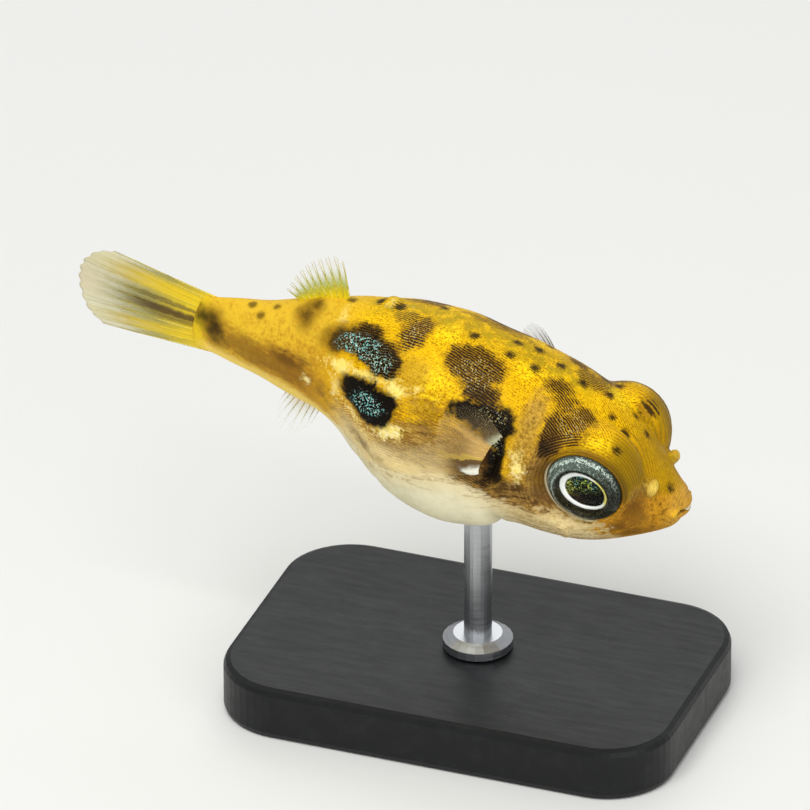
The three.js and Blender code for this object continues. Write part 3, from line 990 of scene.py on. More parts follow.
snout_warmth = rise(-back, -3.7, -2.6) * rise(-up + 0.12 * back, -0.95, 0.05)
tips = [mirrored(NOSTRIL + NOSTRIL_AIM * NOSTRIL_RADIUS, sign) for sign in (LEFT, RIGHT)]
knob_shine = bell(np.min([np.linalg.norm(smooth_skin - tip, axis=1) for tip in tips], axis=0), 0.38)
fold_shine = bell(corner_distance(smooth_skin), 0.2)
mouth_gap, _ = mouth_distance(smooth_skin)
gill_gap, _ = polyline_distance(np.abs(smooth_skin) * (1, 1, 0) + smooth_skin * (0, 0, 1), GILL_SLIT)
# where the mouth and gill slits get painted shade
slit_shade = np.maximum(bell(mouth_gap, 0.06) * (back < 0.7), bell(gill_gap, 0.1))

note(skin_mesh, "flank", np.stack([back, girth, ridge_phase], 1))
note(skin_mesh, "marks", np.stack([blotch, solid, spot], 1))
note(skin_mesh, "tones", np.stack([belly, pale, brown], 1))
note(skin_mesh, "depths", np.stack([pale_strength, brown_strength, fleck_strength], 1))
note(skin_mesh, "touches", np.stack([snout_warmth, fleck, slit_shade], 1))
note(skin_mesh, "lids", lids)
note(skin_mesh, "lights", np.stack([knob_shine, fold_shine, highlight_depth], 1))
print("share of skin under blotches:", round(float(np.mean(blotch > 0)), 3))

# %% [markdown]
# ## Skin finish
#
# Close up, the skin is combed by ridges an eighth of a millimetre apart that run slantwise over
# the back and ring the eyes, and is dusted with gold grains. A painted image would blur at this
# closeness and show its map's seams, so the finish is worked out from distances and noise. It
# is laid on as a model painter would: ridges, gold, the browns and tans of each region, the
# white belly, the small touches on the face, and last the blotches with their cold flecks.
#
# First the finish reads back what was stored on the vertices, and makes the noises that it uses
# everywhere. The two ragged signals swing about zero and are added to a distance to break up
# its edge.

# %% Read the skin's signals
skin_finish = Finish("puffer_skin", Roughness=0.42, Specular_IOR_Level=0.06)
place = skin_finish.grain()
back, girth, phase = skin_finish.noted("flank").parts()
blotch, solid, spot = skin_finish.noted("marks").parts()
belly, pale, brown = skin_finish.noted("tones").parts()
pale_depth, brown_depth, fleck_depth = skin_finish.noted("depths").parts()
warmth, fleck, slit_shade = skin_finish.noted("touches").parts()
lid_forward, lid_upward, lid = skin_finish.noted("lids").parts()
knob, fold, highlight_depth = skin_finish.noted("lights").parts()

wobble = (place.noise(0.9, 2.0) - 0.5) * 0.4
fine = place.noise(7.0, 3.0, 0.6)
grains = place.noise(13.0, 1.5, 0.6)
cloud = place.noise(0.55, 3.0)
patchy = place.noise(2.3, 3.0, 0.6)
mottle = place.stretched(0.6, 1.6, 1.6).noise(2.6, 3.0, 0.65)
streaks = place.stretched(0.5, 2.4, 2.4).noise(1.7, 3.0, 0.7)
patchy_edge = patchy - 0.5
fine_edge = fine - 0.5
print("attributes on the skin:", len(skin_mesh.attributes))

# %% [markdown]
# The ridges are waves of the phase that was worked out for each vertex, frayed a little by
# noise, and give way to rings round the eyes. How strongly they show differs from place to
# place: they are plain on the head and flank and fade on the belly and the tail stalk.

# %% Comb the ridges
RIDGE = 0.125                      # distance between ridge crests, mm

fray = fine_edge * 0.13 + (grains - 0.5) * 0.04
slanting = (phase + wobble + fray).wave(RIDGE)
ringed = (lid + wobble * 0.15 + fray * 0.5).wave(RIDGE * 1.15)
round_eye = lid.step(3.1, 2.5).most(lid.step(4.6, 3.8) * lid_forward.step(0.1, 0.8))
ridges = slanting * (1 - round_eye) + ringed * round_eye
stalk = back.step(14.5, 17.0)
ridges = ridges * (1 - stalk) + fine * stalk

combed = place.noise(1.3, 1.0).step(0.35, 0.65) * 0.3 + 0.08
combed = combed + round_eye * 0.35 + back.step(5.2, 3.2) * 0.6
combed = combed + back.step(8.4, 9.2) * back.step(13.5, 12.0) * belly.step(-3.4, -2.4) * 0.4
combed = combed.held() * (1 - belly.step(-0.8, 0.1)) * (1 - stalk * 0.8)
print("ridges", RIDGE, "mm apart")

# %% [markdown]
# Gold comes from grains of light and dark gold with the ridges' furrows darkened. It gets painted
# highlights in some places and along the top of the back, and painted shade high on the flank;
# it turns olive along the back and over the domes of the eyes, and is duller and browner on the
# tail stalk.

# %% Lay down the gold
GOLD, GOLD_HIGHLIGHT, GOLD_DEEP = paint(234, 184, 5), paint(255, 218, 22), paint(154, 98, 0)
OLIVE, DOME_BROWN, DOME_OLIVE = paint(158, 134, 14), paint(128, 86, 2), paint(142, 120, 12)
STALK_GOLD, STALK_AMBER = paint(222, 180, 46), paint(182, 132, 32)

grainy = grains * (1.25 - stalk * 0.7) + cloud * 0.4 + fine * 0.5 - 0.54 + stalk * 0.33
gold = blend((grainy - (ridges - 0.5) * combed * 0.75).step(0.06, 0.68), GOLD_DEEP, GOLD)
# painted highlights: on scattered grains, at the highlight places and along the top of the back
highlighted = fine * 0.7 + grains * 0.5 + cloud * 0.6 - 1.06 + (highlight_depth + 0.7).held() * 0.3
highlighted = highlighted.step(0.0, 0.26) + girth.step(2.4, 1.0) * grains.step(0.4, 0.6) * 0.3
gold = blend((highlighted - combed * ridges * 0.4).held() * 0.95, gold, GOLD_HIGHLIGHT)
on_back = girth.step(1.3, 0.2) * back.step(4.6, 5.6) * back.step(17.0, 14.0)
gold = blend(on_back * (patchy.step(0.38, 0.58) * 0.62 + 0.12), gold, OLIVE)
stalk_tone = (fine * 0.8 + patchy * 0.7 - girth * 0.1).step(0.3, 0.75)
gold = blend(stalk * 0.95, gold, blend(stalk_tone, STALK_AMBER, STALK_GOLD))
snout_top = back.step(3.9, 2.0) * (patchy * 0.6 + 0.35)
gold = blend(snout_top.held(), gold, blend(ridges, GOLD_DEEP, OLIVE))
domes = lid.step(3.7, 3.0) * lid_forward.step(0.3, 1.3) * lid_upward.step(0.0, 0.5)
gold = blend(domes * 0.8, gold, blend(ridges, DOME_BROWN, DOME_OLIVE))
# painted shade high on the flank, broken up by mottle
upper_flank_shade = (belly + patchy * 0.6).step(-4.2, -2.7) * back.step(9.6, 10.6) * back.step(14.5, 13.0)
gold = blend(upper_flank_shade * (mottle * 0.8 + fine * 0.3).step(0.5, 0.68) * 0.6, gold, GOLD_DEEP)
print("gold, linear:", np.round(GOLD, 3))

# %% [markdown]
# Towards the belly the gold turns to streaky tan on the flank and to brown on the cheek and the
# jaw. Real skin has no clean borders there, so every mask is a stored distance with noise added
# before its step. Cream patches lie over the browns.

# %% Tan, brown and cream
FLANK_TAN, FLANK_PALE, PATCH_PALE = paint(148, 106, 44), paint(222, 184, 94), paint(251, 228, 118)
CHEEK_BROWN, CHEEK_TAN, DEEP_BROWN = paint(102, 74, 38), paint(178, 138, 66), paint(66, 42, 12)
THROAT, BELLY_WHITE, STALK_BROWN = paint(244, 228, 172), paint(244, 236, 200), paint(120, 80, 24)

low_flank = (belly + patchy * 0.9).step(-2.2, -1.0) * back.step(8.4, 9.4) * back.step(15.8, 14.4)
flank_light = (fine * 0.5 + mottle * 0.9 - ridges * 0.17 - 0.16).step(0.36, 0.58)
tan = blend(flank_light, FLANK_TAN, FLANK_PALE)
tan = blend((belly + patchy * 0.7).step(-1.3, -0.3) * 0.65, tan, THROAT)
colour = blend(low_flank * 0.9, gold, tan)

cheek = (brown + 0.55 + patchy_edge * 0.8).step(-0.1, 0.4) * back.step(7.6, 6.8) * lid.step(2.0, 2.3)
colour = blend(cheek * 0.7, colour, blend(fine.step(0.35, 0.62), CHEEK_BROWN, CHEEK_TAN))
jaw = (belly + patchy * 0.5).step(-1.05, -0.5) * back.step(9.9, 9.1) * back.step(4.4, 5.4)
jaw_tone = (streaks * 0.7 + fine * 0.4).step(0.46, 0.64)
colour = blend(jaw * 0.95, colour, blend(jaw_tone, CHEEK_BROWN, CHEEK_TAN))

browned = (brown + patchy_edge * 0.8 + (mottle - 0.5) * 0.9 + fine_edge * 0.3).step(-0.3, 0.25)
ochre = stalk.most(back.step(4.0, 3.0))
cheek_light = streaks * 0.7 + fine * 0.5 + ridges * 0.1
cheek_tone = blend(cheek_light.step(0.62, 0.76) * 0.5, CHEEK_BROWN, CHEEK_TAN)
cheek_tone = blend(cheek_light.step(0.68, 0.55) * 0.85, cheek_tone, DEEP_BROWN)
brown_tone = blend(ochre, cheek_tone, STALK_BROWN)
brown_tone = blend((browned * brown_depth).step(0.9, 1.25), brown_tone, DEEP_BROWN)
colour = blend((browned * brown_depth * 0.9).held(), colour, brown_tone)

paled = (pale + patchy_edge * 0.8 + fine_edge * 0.7).step(-0.12, 0.3) * pale_depth
paler = (fine * 0.7 + mottle * 0.5 - 0.1).step(0.4, 0.75) * (belly.step(-3.4, -1.6) * 0.7 + 0.3)
colour = blend(paled.held() * 0.85, colour, blend(paler, PATCH_PALE, BELLY_WHITE))
print("throat, linear:", np.round(THROAT, 3))

# %% [markdown]
# The belly is cream, yellower under the tail and streaked with brown at the throat. Its upper
# edge is the most ragged border of all, with fine brown streaks lying just inside it.

# %% White belly and throat
THROAT_BROWN, BELLY_SHADE = paint(168, 134, 82), paint(222, 212, 170)
BELLY_YELLOW, BELLY_TAN = paint(246, 212, 100), paint(216, 188, 116)

throat_shade = (streaks * 0.7 + fine * 0.5 - belly * 0.07).step(0.7, 0.44)
white = blend((patchy * 0.5 + cloud * 0.5).step(0.6, 0.35) * 0.6, BELLY_WHITE, BELLY_SHADE)
white = blend(back.step(8.0, 6.4) * 0.85, white, blend(throat_shade, THROAT, THROAT_BROWN))
white = blend(back.step(14.6, 16.0), white, BELLY_YELLOW)
white = blend(back.step(3.5, 2.4) * (fine * 0.5 + 0.25), white, THROAT_BROWN)
ahead_of_vent = back.step(15.6, 13.5)
frayed = (streaks + fine_edge * 0.3 - belly.held() * 0.1).step(0.46, 0.6) * ahead_of_vent
white = blend(belly.step(1.5, 0.2) * ahead_of_vent * 0.4, white, BELLY_TAN)
white = blend(frayed * belly.step(1.7, 0.3) * 0.55, white, THROAT_BROWN)

ragged = patchy_edge * 0.8 + (streaks - 0.5) * 1.2 + (mottle - 0.5) * 0.8 + fine_edge * 0.3
ragged = ragged * (1 - stalk * 0.75) * (1 + back.step(4.0, 3.0) * 1.8)
bellied = (belly + ragged).step(-0.2, 0.34)
print("belly white, linear:", np.round(BELLY_WHITE, 3))

# %% [markdown]
# The face gets its small touches one by one, as it is what people look at: brown and olive
# rings with an amber edge round each eye, a pale line along the lid, an orange snout, tan lips,
# a yellow fold at the corner of the mouth and pale nostrils.

# %% Touch up the face
LID_BROWN, LID_OLIVE, LID_PALE = paint(112, 80, 38), paint(128, 98, 14), paint(206, 196, 160)
RIM_AMBER, SLIT_SHADE, FIN_YELLOW = paint(98, 68, 18), paint(28, 20, 12), paint(224, 192, 30)
SNOUT_ORANGE, SNOUT_BROWN = paint(210, 150, 34), paint(124, 82, 20)
KNOB_PALE, FOLD_YELLOW, LIP_TAN_HIGHLIGHT = paint(248, 218, 106), paint(244, 190, 40), paint(212, 166, 74)

round_lid = lid.step(2.5, 1.95) * (1 - lid_upward.step(0.6, 1.5) * 0.4)
lid_tone = (lid_upward * 0.6 + lid_forward * 0.5 + patchy_edge * 0.8).step(-0.5, 0.5)
colour = blend(round_lid * ((1 - ridges) * 0.55 + 0.45), colour, blend(lid_tone, LID_BROWN, LID_OLIVE))
amber = lid.step(2.2, 1.8) * (1 - ridges * 0.4) * lid_upward.step(-1.2, 0.2)
colour = blend(amber * 0.85, colour, RIM_AMBER)
colour = blend(bellied, colour, white)
rim = (lid - 1.74).unsigned().step(0.06, 0.02) * (lid_upward * -0.8 - lid_forward * 0.4).step(-0.2, 0.7)
colour = blend(rim * 0.75, colour, LID_PALE)
# painted shade where the skin turns down into each socket
colour = blend(lid.step(1.68, 1.6) * 0.85, colour, SLIT_SHADE)

snout = blend((fine * 0.9 + patchy * 0.5 - 0.12).step(0.3, 0.7), SNOUT_BROWN, SNOUT_ORANGE)
snout = blend((browned * brown_depth * (0.4 + fine)).held() * 0.95, snout, STALK_BROWN)
warm = (warmth + patchy_edge * 0.5).step(0.05, 0.55) * (1 - bellied * 0.9)
colour = blend(warm * 0.95, colour, snout)
# tan on the lips, partly their own colour and partly a painted highlight along the wrinkles
lips = back.step(1.0, 0.3) * ((back + fray * 0.5).wave(0.12) * 0.45 + patchy * 0.5)
colour = blend(lips.held(), colour, LIP_TAN_HIGHLIGHT)
colour = blend(fold * 0.85, colour, FOLD_YELLOW)
colour = blend(knob * (fine * 0.8 + 0.3).held(), colour, KNOB_PALE)
fin_root = (back + patchy_edge * 1.4 + fine_edge).step(21.7, 22.5)
colour = blend(fin_root * 0.8, colour, FIN_YELLOW)
print("snout orange, linear:", np.round(SNOUT_ORANGE, 3))

# %% [markdown]
# The dark blotches go over everything. Where one is weak its edge frays more, and the crests of
# the ridges show through it in gold, which gives the striped look. A strong one is solid and
# nearly black.

# %% Ink the blotches and spots
BROWN_INK, BLACK_INK = paint(60, 38, 12), paint(14, 10, 5)
OLIVE_DARK, CREST_GOLD = paint(124, 106, 28), paint(178, 132, 26)

loose = (1.5 - solid).held()
edge = blotch + patchy_edge * 0.65 + fine_edge * (0.15 + loose * 0.4) - (ridges - 0.5) * loose * 0.2
crests = (ridges * 0.8 + grains * 0.5 + patchy * 0.3 - solid * 0.42).step(0.5, 0.85)
dark = edge.step(stalk * -0.2 - 0.14, stalk * 0.3 + 0.16) * (1 - stalk * 0.12)
dark = dark * (1 - crests * loose)
ink = blend((solid - 0.62 + fine_edge * 0.6 + edge * 0.3).step(0.3, 0.85), BROWN_INK, BLACK_INK)
ink = blend(solid.step(0.6, 0.45) * 0.8, ink, OLIVE_DARK)
colour = blend(edge.step(-0.25, 0.3) * (1 - browned) * 0.7, colour, CREST_GOLD)
colour = blend(dark, colour, ink)
spotted = (spot + fine_edge * 0.4 + patchy_edge * 0.2 - (ridges - 0.5) * 0.14).step(-0.13, 0.08)
spot_ink = blend(spot.step(-0.02, 0.14), BROWN_INK, BLACK_INK)
colour = blend(spotted * (0.93 - stalk * 0.2), colour, spot_ink)
print("black ink, linear:", np.round(BLACK_INK, 4))

# %% [markdown]
# Inside the two cold-flecked blotches lie worm-like flecks of blue-green and a few white
# sparkles, which are partly the flecks' own white and partly painted highlights; the weaker
# blotches have only a few cream ones. The last lines give the skin its relief, sunk along the
# dark lines of the ridges and grains, and a moist sheen, and put it in the place of the seven
# plain solids that make up the body.

# %% Cold flecks, relief and sheen
CREST_CREAM, FLECK_BLUE, FLECK_WHITE_HIGHLIGHT = paint(214, 190, 112), paint(112, 172, 164), paint(226, 240, 222)

within = (fleck + patchy_edge * 0.6).step(-0.25, 0.3) * edge.step(-0.02, 0.16)
thick = fleck_depth.step(0.5, 0.95)
sparks = place.noise(12.0, 1.0, 0.5) + (ridges - 0.5) * 0.05
glint = (sparks + within * 0.02 + thick * 0.05).step(0.61, 0.68)
flecked = within.step(0.1, 0.6) * glint * (0.5 + thick * 0.5)
colour = blend(flecked, colour, blend(thick, CREST_CREAM, FLECK_BLUE))
# white sparkles, partly the flecks' own white and partly painted highlights
white_sparkle_highlight = place.stretched(1.3, 1.3, 1.3).noise(11.0, 1.0, 0.5) + thick * 0.03
colour = blend(within * white_sparkle_highlight.step(0.68, 0.73) * (0.5 + thick * 0.5), colour, FLECK_WHITE_HIGHLIGHT)
# painted shade in the mouth and gill slits
colour = blend(slit_shade * 0.9, colour, SLIT_SHADE)

depth = (ridges * combed).held() + grains * 0.35 + fine * 0.5
skin_finish.relief(depth * -1.0, 0.03, 0.8)
shine = (0.55 - grains * 0.18 - glint * within * 0.2).held()
skin_finish.feed(Base_Color=colour, Roughness=shine)

finish(
    "puffer_skin", skin_mesh, skin_finish.material, "skin",
    "head", "trunk", "tail", "lip_upper", "lip_lower", "nostril_left", "nostril_right",
)

# %% [markdown]
# ## Eyes
#
# Each eye is two pieces. The eyeball is opaque: a flattened ball whose front is shaped into a
# fleshy outer ring, a step down to the iris, a raised white ring round the oval pupil, and a
# low dome of lens. Over it lies a thin clear cornea, a real shell, so that the iris keeps its
# depth when the head is seen from the side.

# %% Shape the eyeballs
EYE_RADIUS = 1.69                  # where the eyeball meets the rim of skin
DOME_RADIUS, CORNEA_RADIUS = 1.71, 1.705   # where the dome would come down flat, and the cornea's
EYE_DEPTH = 1.12                   # of the cornea's dome, over the middle of the flattened ball
EYE_OUT = 1.0                      # middle of the flattened ball, out from the orbit's centre
IRIS_LEVEL = 1.56
IRIS_OPENS = (1.12, 1.26)          # radii between which the outer ring steps down to the iris
CORNEA_GAP, CORNEA_WALL = 0.02, 0.03
CORNEA_CUT = 0.22                  # share of the dome's height that stays open at its foot
WHITE_AT, WHITE_SIZE = (0.09, 0.07), (1.1, 0.93)      # forward and upward, mm
PUPIL_AT, PUPIL_SIZE = (0.15, 0.09), (0.93, 0.77)
FLATTER = 0.2                      # how far the upper front of both ovals is flattened


def cornea_height(radius, shrink=0.0):
    """Height of the cornea's dome over the orbit's centre, at a radius on the eye's face."""
    fall = np.sqrt(np.clip(1 - (radius / DOME_RADIUS) ** 2, 0, 1))
    return EYE_OUT + (EYE_DEPTH - shrink) * fall - shrink * 0.3


def in_ring(forward, upward):
    """1 on the outer edge of the white ring, and 1 on the edge of the pupil."""
    flat = FLATTER * np.clip(forward * 0.75 + upward * 0.65 - 0.2, 0, None) ** 2
    white = np.hypot((forward - WHITE_AT[0]) / WHITE_SIZE[0], (upward - WHITE_AT[1]) / WHITE_SIZE[1])
    pupil = np.hypot((forward - PUPIL_AT[0]) / PUPIL_SIZE[0], (upward - PUPIL_AT[1]) / PUPIL_SIZE[1])
    return white + flat, pupil + flat


def eyeball_front(forward, upward):
    radius = np.hypot(forward, upward)
    white, pupil = in_ring(forward, upward)
    rim = cornea_height(radius, CORNEA_GAP + CORNEA_WALL)
    iris = IRIS_LEVEL - 0.05 * radius + 0.045 * bell(white - 0.92, 0.12)
    lens = IRIS_LEVEL - 0.09 + 0.11 * (1 - np.clip(pupil, 0, 1) ** 2)
    inner = np.where(pupil < 1, np.minimum(iris, lens + 0.08 * rise(pupil, 0.92, 1.0)), iris)
    return inner + (rim - inner) * rise(radius, *IRIS_OPENS)


print("iris lies", round(cornea_height(0.0) - IRIS_LEVEL, 2), "mm under the cornea")

# %% [markdown]
# Both pieces of an eye start as a sphere. Its points are read as places on the eye's face,
# forward and upward from the middle, and are given their height there, so one set of ovals
# serves both the shape and, later, the paint. The left eye mirrors the right, so the faces are
# turned outwards at the end.

# %% Make eyeballs and corneas
BEHIND = 9.0                       # radius noted for the back half, outside every ring


def eye_points(side, forward, upward, height):
    """Points given on the eye's own face, as back, left, up on the fish."""
    centre, look, upright = eye_frame(side)
    ahead = np.array([-1.0, 0, 0])
    return centre + forward[:, None] * ahead + upward[:, None] * upright + height[:, None] * look


def eye_ball(u_segments, v_segments):
    """A sphere's points as radius 0 to 1 on the eye's face, direction round it, and which half."""
    shape = bmesh.new()
    bmesh.ops.create_uvsphere(shape, u_segments=u_segments, v_segments=v_segments, radius=1)
    mesh = mesh_of("ball", shape, outwards=False)
    unit = points_of(mesh)
    return mesh, np.hypot(unit[:, 0], unit[:, 1]), np.arctan2(unit[:, 1], -unit[:, 0]), unit[:, 2]


def outward_faces(mesh):
    """Turns a mesh's faces outwards after its points have been moved, perhaps to the mirror side."""
    shape = bmesh.new()
    shape.from_mesh(mesh)
    bmesh.ops.recalc_face_normals(shape, faces=shape.faces)
    shape.to_mesh(mesh)
    shape.free()


def eyeball_mesh(side):
    mesh, reach, turn, level = eye_ball(144, 120)
    front = level >= -1e-4
    from_pole = np.arccos(np.clip(np.abs(level), 0, 1)) / (math.pi / 2)
    radius = EYE_RADIUS * np.where(front, from_pole, reach)
    forward, upward = radius * np.cos(turn), radius * np.sin(turn)
    height = np.where(front, eyeball_front(forward, upward), EYE_OUT + 0.15 + 0.5 * level)
    move_points(mesh, eye_points(side, forward, upward, height))
    note(mesh, "face", np.stack([forward, upward, np.where(front, radius, BEHIND)], 1))
    outward_faces(mesh)
    return mesh


def cornea_mesh(side):
    shape = bmesh.new()
    bmesh.ops.create_uvsphere(shape, u_segments=128, v_segments=96, radius=1)
    behind = [vertex for vertex in shape.verts if vertex.co.z < CORNEA_CUT]
    bmesh.ops.delete(shape, geom=behind, context="VERTS")
    bmesh.ops.solidify(shape, geom=shape.faces, thickness=CORNEA_WALL)
    mesh = mesh_of("cornea", shape)
    unit = points_of(mesh)
    forward, upward = unit[:, 0] * -CORNEA_RADIUS, unit[:, 1] * CORNEA_RADIUS
    height = EYE_OUT + unit[:, 2] * EYE_DEPTH
    move_points(mesh, eye_points(side, forward, upward, height))
    outward_faces(mesh)
    return mesh


print("cornea", CORNEA_WALL, "mm thick,", round(2 * CORNEA_RADIUS, 2), "mm across")

# %% [markdown]
# The eye's paint reads its place on the eye's face, which was stored on the vertices, and works
# out the same two ovals again as signals. A little noise keeps both from being perfect.

# %% Find the rings of the eye
eye_finish = Finish("puffer_eye", Roughness=0.35, Specular_IOR_Level=0.06)
place = eye_finish.grain()
forward, upward, radius = eye_finish.noted("face").parts()


def oval(forward, upward, centre, size):
    a = (forward - centre[0]) / size[0]
    b = (upward - centre[1]) / size[1]
    lean = (forward * 0.75 + upward * 0.65 - 0.2).most(0.0)
    return (a * a + b * b).root() + lean * lean * FLATTER


uneven = (place.noise(3.0, 2.0) - 0.5) * 0.12
white = oval(forward, upward, WHITE_AT, WHITE_SIZE) + uneven * 0.7
pupil = oval(forward, upward, PUPIL_AT, PUPIL_SIZE) + uneven * 0.5
specks = place.noise(9.5, 2.0, 0.7)
fine = place.noise(16.0, 2.0, 0.6)
print("white ring", 2 * WHITE_SIZE[0], "by", 2 * WHITE_SIZE[1], "mm")

# %% [markdown]
# The outer ring is slate grey with silver flecks, thicker at the upper back. Two fine silver
# lines run round it, one inside at the lower back and one outside at the top. The step down to
# the iris is dark olive.

# %% Paint the slate ring
SLATE, SLATE_LIGHT, SILVER = paint(36, 36, 26), paint(82, 94, 84), paint(200, 216, 202)
IRIS_DARK, IRIS_OLIVE = paint(24, 22, 14), paint(76, 70, 34)

upper_back = (upward * 0.7 - forward * 0.6).step(-0.9, 1.5)
slate = blend((specks + upper_back * 0.4).step(0.45, 1.0), SLATE, SLATE_LIGHT)
slate = blend((specks * 0.6 + fine * 0.5 + upper_back * 0.09).step(0.66, 0.8) * 0.6, slate, SILVER)
inner_line = (radius - 1.3 + uneven).step(0.06, 0.0) * (radius - 1.24 + uneven).step(-0.02, 0.03)
lower_back = (upward * -0.6 - forward * 0.8).step(-0.2, 0.9)
slate = blend(inner_line * lower_back * fine.step(0.42, 0.55) * 0.7, slate, SILVER)
top = (upward * 0.9 - forward * 0.45).step(-0.4, 1.1)
outer_line = (radius + uneven).step(1.48, 1.53) * (radius + uneven).step(1.62, 1.57)
slate = blend(outer_line * top * (fine * 0.7 + specks * 0.4).step(0.5, 0.62) * 0.9, slate, SILVER)
slate = blend((radius + uneven).step(1.6, 1.66) * 0.6, slate, IRIS_DARK)
iris = blend(specks.step(0.45, 0.7), IRIS_DARK, IRIS_OLIVE)
iris = blend((fine + upper_back * 0.1).step(0.62, 0.72) * 0.6, iris, SLATE_LIGHT)
colour = blend((radius + uneven).step(1.16, 1.26), iris, slate)
print("slate, linear:", np.round(SLATE, 3))

# %% [markdown]
# The white ring is thin and yellow towards the upper front. The pupil is black glass with a
# broken painted reflection of green, yellow and blue over its upper half, which comes from a
# colour ramp read by noise.

# %% Paint the white ring and the pupil
RING_WHITE, RING_YELLOW = paint(252, 255, 248), paint(228, 216, 48)
PUPIL, PUPIL_BROWN = paint(12, 12, 8), paint(74, 48, 18)
PUPIL_REFLECTION = [
    (0.0, (*paint(60, 100, 30), 1)), (0.3, (*paint(120, 200, 50), 1)),
    (0.5, (*paint(226, 232, 90), 1)), (0.7, (*paint(90, 170, 150), 1)),
    (1.0, (*paint(140, 200, 220), 1)),
]

ring = blend((forward + upward * 0.5 + uneven * 2).step(0.7, 1.0) * 0.85, RING_WHITE, RING_YELLOW)
ring = blend(fine.step(0.6, 0.75) * 0.3, ring, SLATE_LIGHT)
colour = blend(white.step(1.03, 0.97), colour, ring)
# a painted reflection of green, yellow and blue over the pupil's upper half
sheen = (place.noise(5.0, 2.0, 0.7) * 1.6 - 0.3 + upward * 0.25).held()
reflected = sheen.node("ValToRGB", {"stops": PUPIL_REFLECTION}, {0: sheen})
lit = (upward - forward * 0.5 + uneven * 3).step(-0.25, 0.35)
reflecting = lit * (specks * 0.5 + place.noise(15.0, 1.0) * 0.75).step(0.64, 0.76)
brown_side = (forward * -1.0 - upward * 0.5).step(-0.1, 0.7)
deep = blend(brown_side * specks.step(0.4, 0.6) * 0.8, PUPIL, PUPIL_BROWN)
colour = blend(pupil.step(1.02, 0.97), colour, blend(reflecting * 0.85, deep, reflected))
eye_finish.relief(specks * 0.6 + fine * 0.4, 0.02, 0.4)
eye_finish.feed(Base_Color=colour)
print(len(PUPIL_REFLECTION), "shimmer colours")

# %% [markdown]
# The cornea is clear, with an index of refraction low enough that it doesn't turn the ring
# under it into a mirror. It casts no shadow, because a render of thin glass would darken the
# iris behind it.

# %% Place the eyes
cornea_finish = Finish("cornea", Roughness=0.02, IOR=1.12)
cornea_finish.shader.inputs["Transmission Weight"].default_value = 1.0

for name, sign in (("left", LEFT), ("right", RIGHT)):
    finish(f"eyeball_{name}", eyeball_mesh(sign), eye_finish.material, "eye", f"eye_{name}")
    cornea = finish(f"cornea_{name}", cornea_mesh(sign), cornea_finish.material, "eye")
    cornea.visible_shadow = False

# %% [markdown]
# ## Beak
#
# A puffer's teeth are fused into two short plates that just show between the lips. Each is a
# ball squashed into a plate and bowed to follow the lips, as a box would show flat ends.

# %% Shape the beak
BEAK_WIDTH, BEAK_DEPTH, BEAK_THICKNESS = 0.34, 0.22, 0.075     # half sizes
BEAK_FRONT = -0.03


def beak_mesh(sign):
    shape = bmesh.new()
    bmesh.ops.create_uvsphere(shape, u_segments=48, v_segments=24, radius=1)
    mesh = mesh_of("beak", shape, outwards=False)
    unit = points_of(mesh)
    across = unit[:, 1] * BEAK_WIDTH
    back = BEAK_FRONT + BEAK_DEPTH * (1 + unit[:, 0]) + 0.9 * across**2
    edge = np.abs(unit[:, 2]) ** 0.7 * np.sign(unit[:, 2])
    up = -0.08 + sign * 0.068 + edge * BEAK_THICKNESS * (1 - 0.35 * unit[:, 1] ** 2)
    move_points(mesh, np.stack([back, across, up], 1))
    outward_faces(mesh)
    return mesh


beak_finish = Finish("beak_enamel", Roughness=0.22)
place = beak_finish.grain()
stain = place.stretched(3.0, 9.0, 2.0).noise(1.0, 3.0, 0.6)
beak_finish.feed(Base_Color=blend(stain.step(0.35, 0.75), paint(240, 232, 206), paint(196, 168, 110)))
beak_finish.relief(stain, 0.01, 0.5)
for name, sign in (("upper", 1), ("lower", -1)):
    finish(f"beak_plate_{name}", beak_mesh(sign), beak_finish.material, "beak", f"beak_{name}")

# %% [markdown]
# ## Fins
#
# A fin is a fan of bony rays with skin between them. One description serves all five fins: a
# line of roots, a line of tips, and how many rays run between. It turns a share across the rays
# and a share along them into a place, bowed and rippled out of the fin's plane.

# %% The shape of a fan
def line_through(places, share):
    """Points at shares 0 to 1 of the way along a smooth line through a few places."""
    places = np.asarray(places, float)
    gaps = np.linalg.norm(np.diff(places, axis=0), axis=1)
    knots = np.concatenate([[0], np.cumsum(gaps)]) / gaps.sum()
    slopes = np.gradient(places, knots, axis=0)
    k = np.clip(np.searchsorted(knots, share, "right") - 1, 0, len(knots) - 2)
    width = (knots[k + 1] - knots[k])[:, None]
    t = (share[:, None] - knots[k][:, None]) / width
    start = places[k] * (2 * t**3 - 3 * t**2 + 1) + slopes[k] * width * (t**3 - 2 * t**2 + t)
    end = places[k + 1] * (3 * t**2 - 2 * t**3) + slopes[k + 1] * width * (t**3 - t**2)
    return start + end


class Fan:
    """The shape of a fin: where a point lies, given its share across the rays and along them."""

    def __init__(self, roots, tips, rays, normal, bow=0.0, ripple=0.0, notch=0.05):
        self.roots, self.tips, self.rays = roots, tips, rays
        self.normal = np.asarray(normal, float) / np.linalg.norm(normal)
        self.bow, self.ripple, self.notch = bow, ripple, notch

    def points(self, across, along):
        across, along = np.broadcast_arrays(np.asarray(across, float), np.asarray(along, float))
        root = line_through(self.roots, across)
        tip = line_through(self.tips, across)
        out = root + (tip - root) * along[:, None]
        sideways = self.bow * along**2 + self.ripple * along * np.sin(across * 9.0 + along * 2.5)
        return out + sideways[:, None] * self.normal


print("middle of a slanted line:", line_through([(0, 0, 0), (2, 1, 0)], np.array([0.5])))

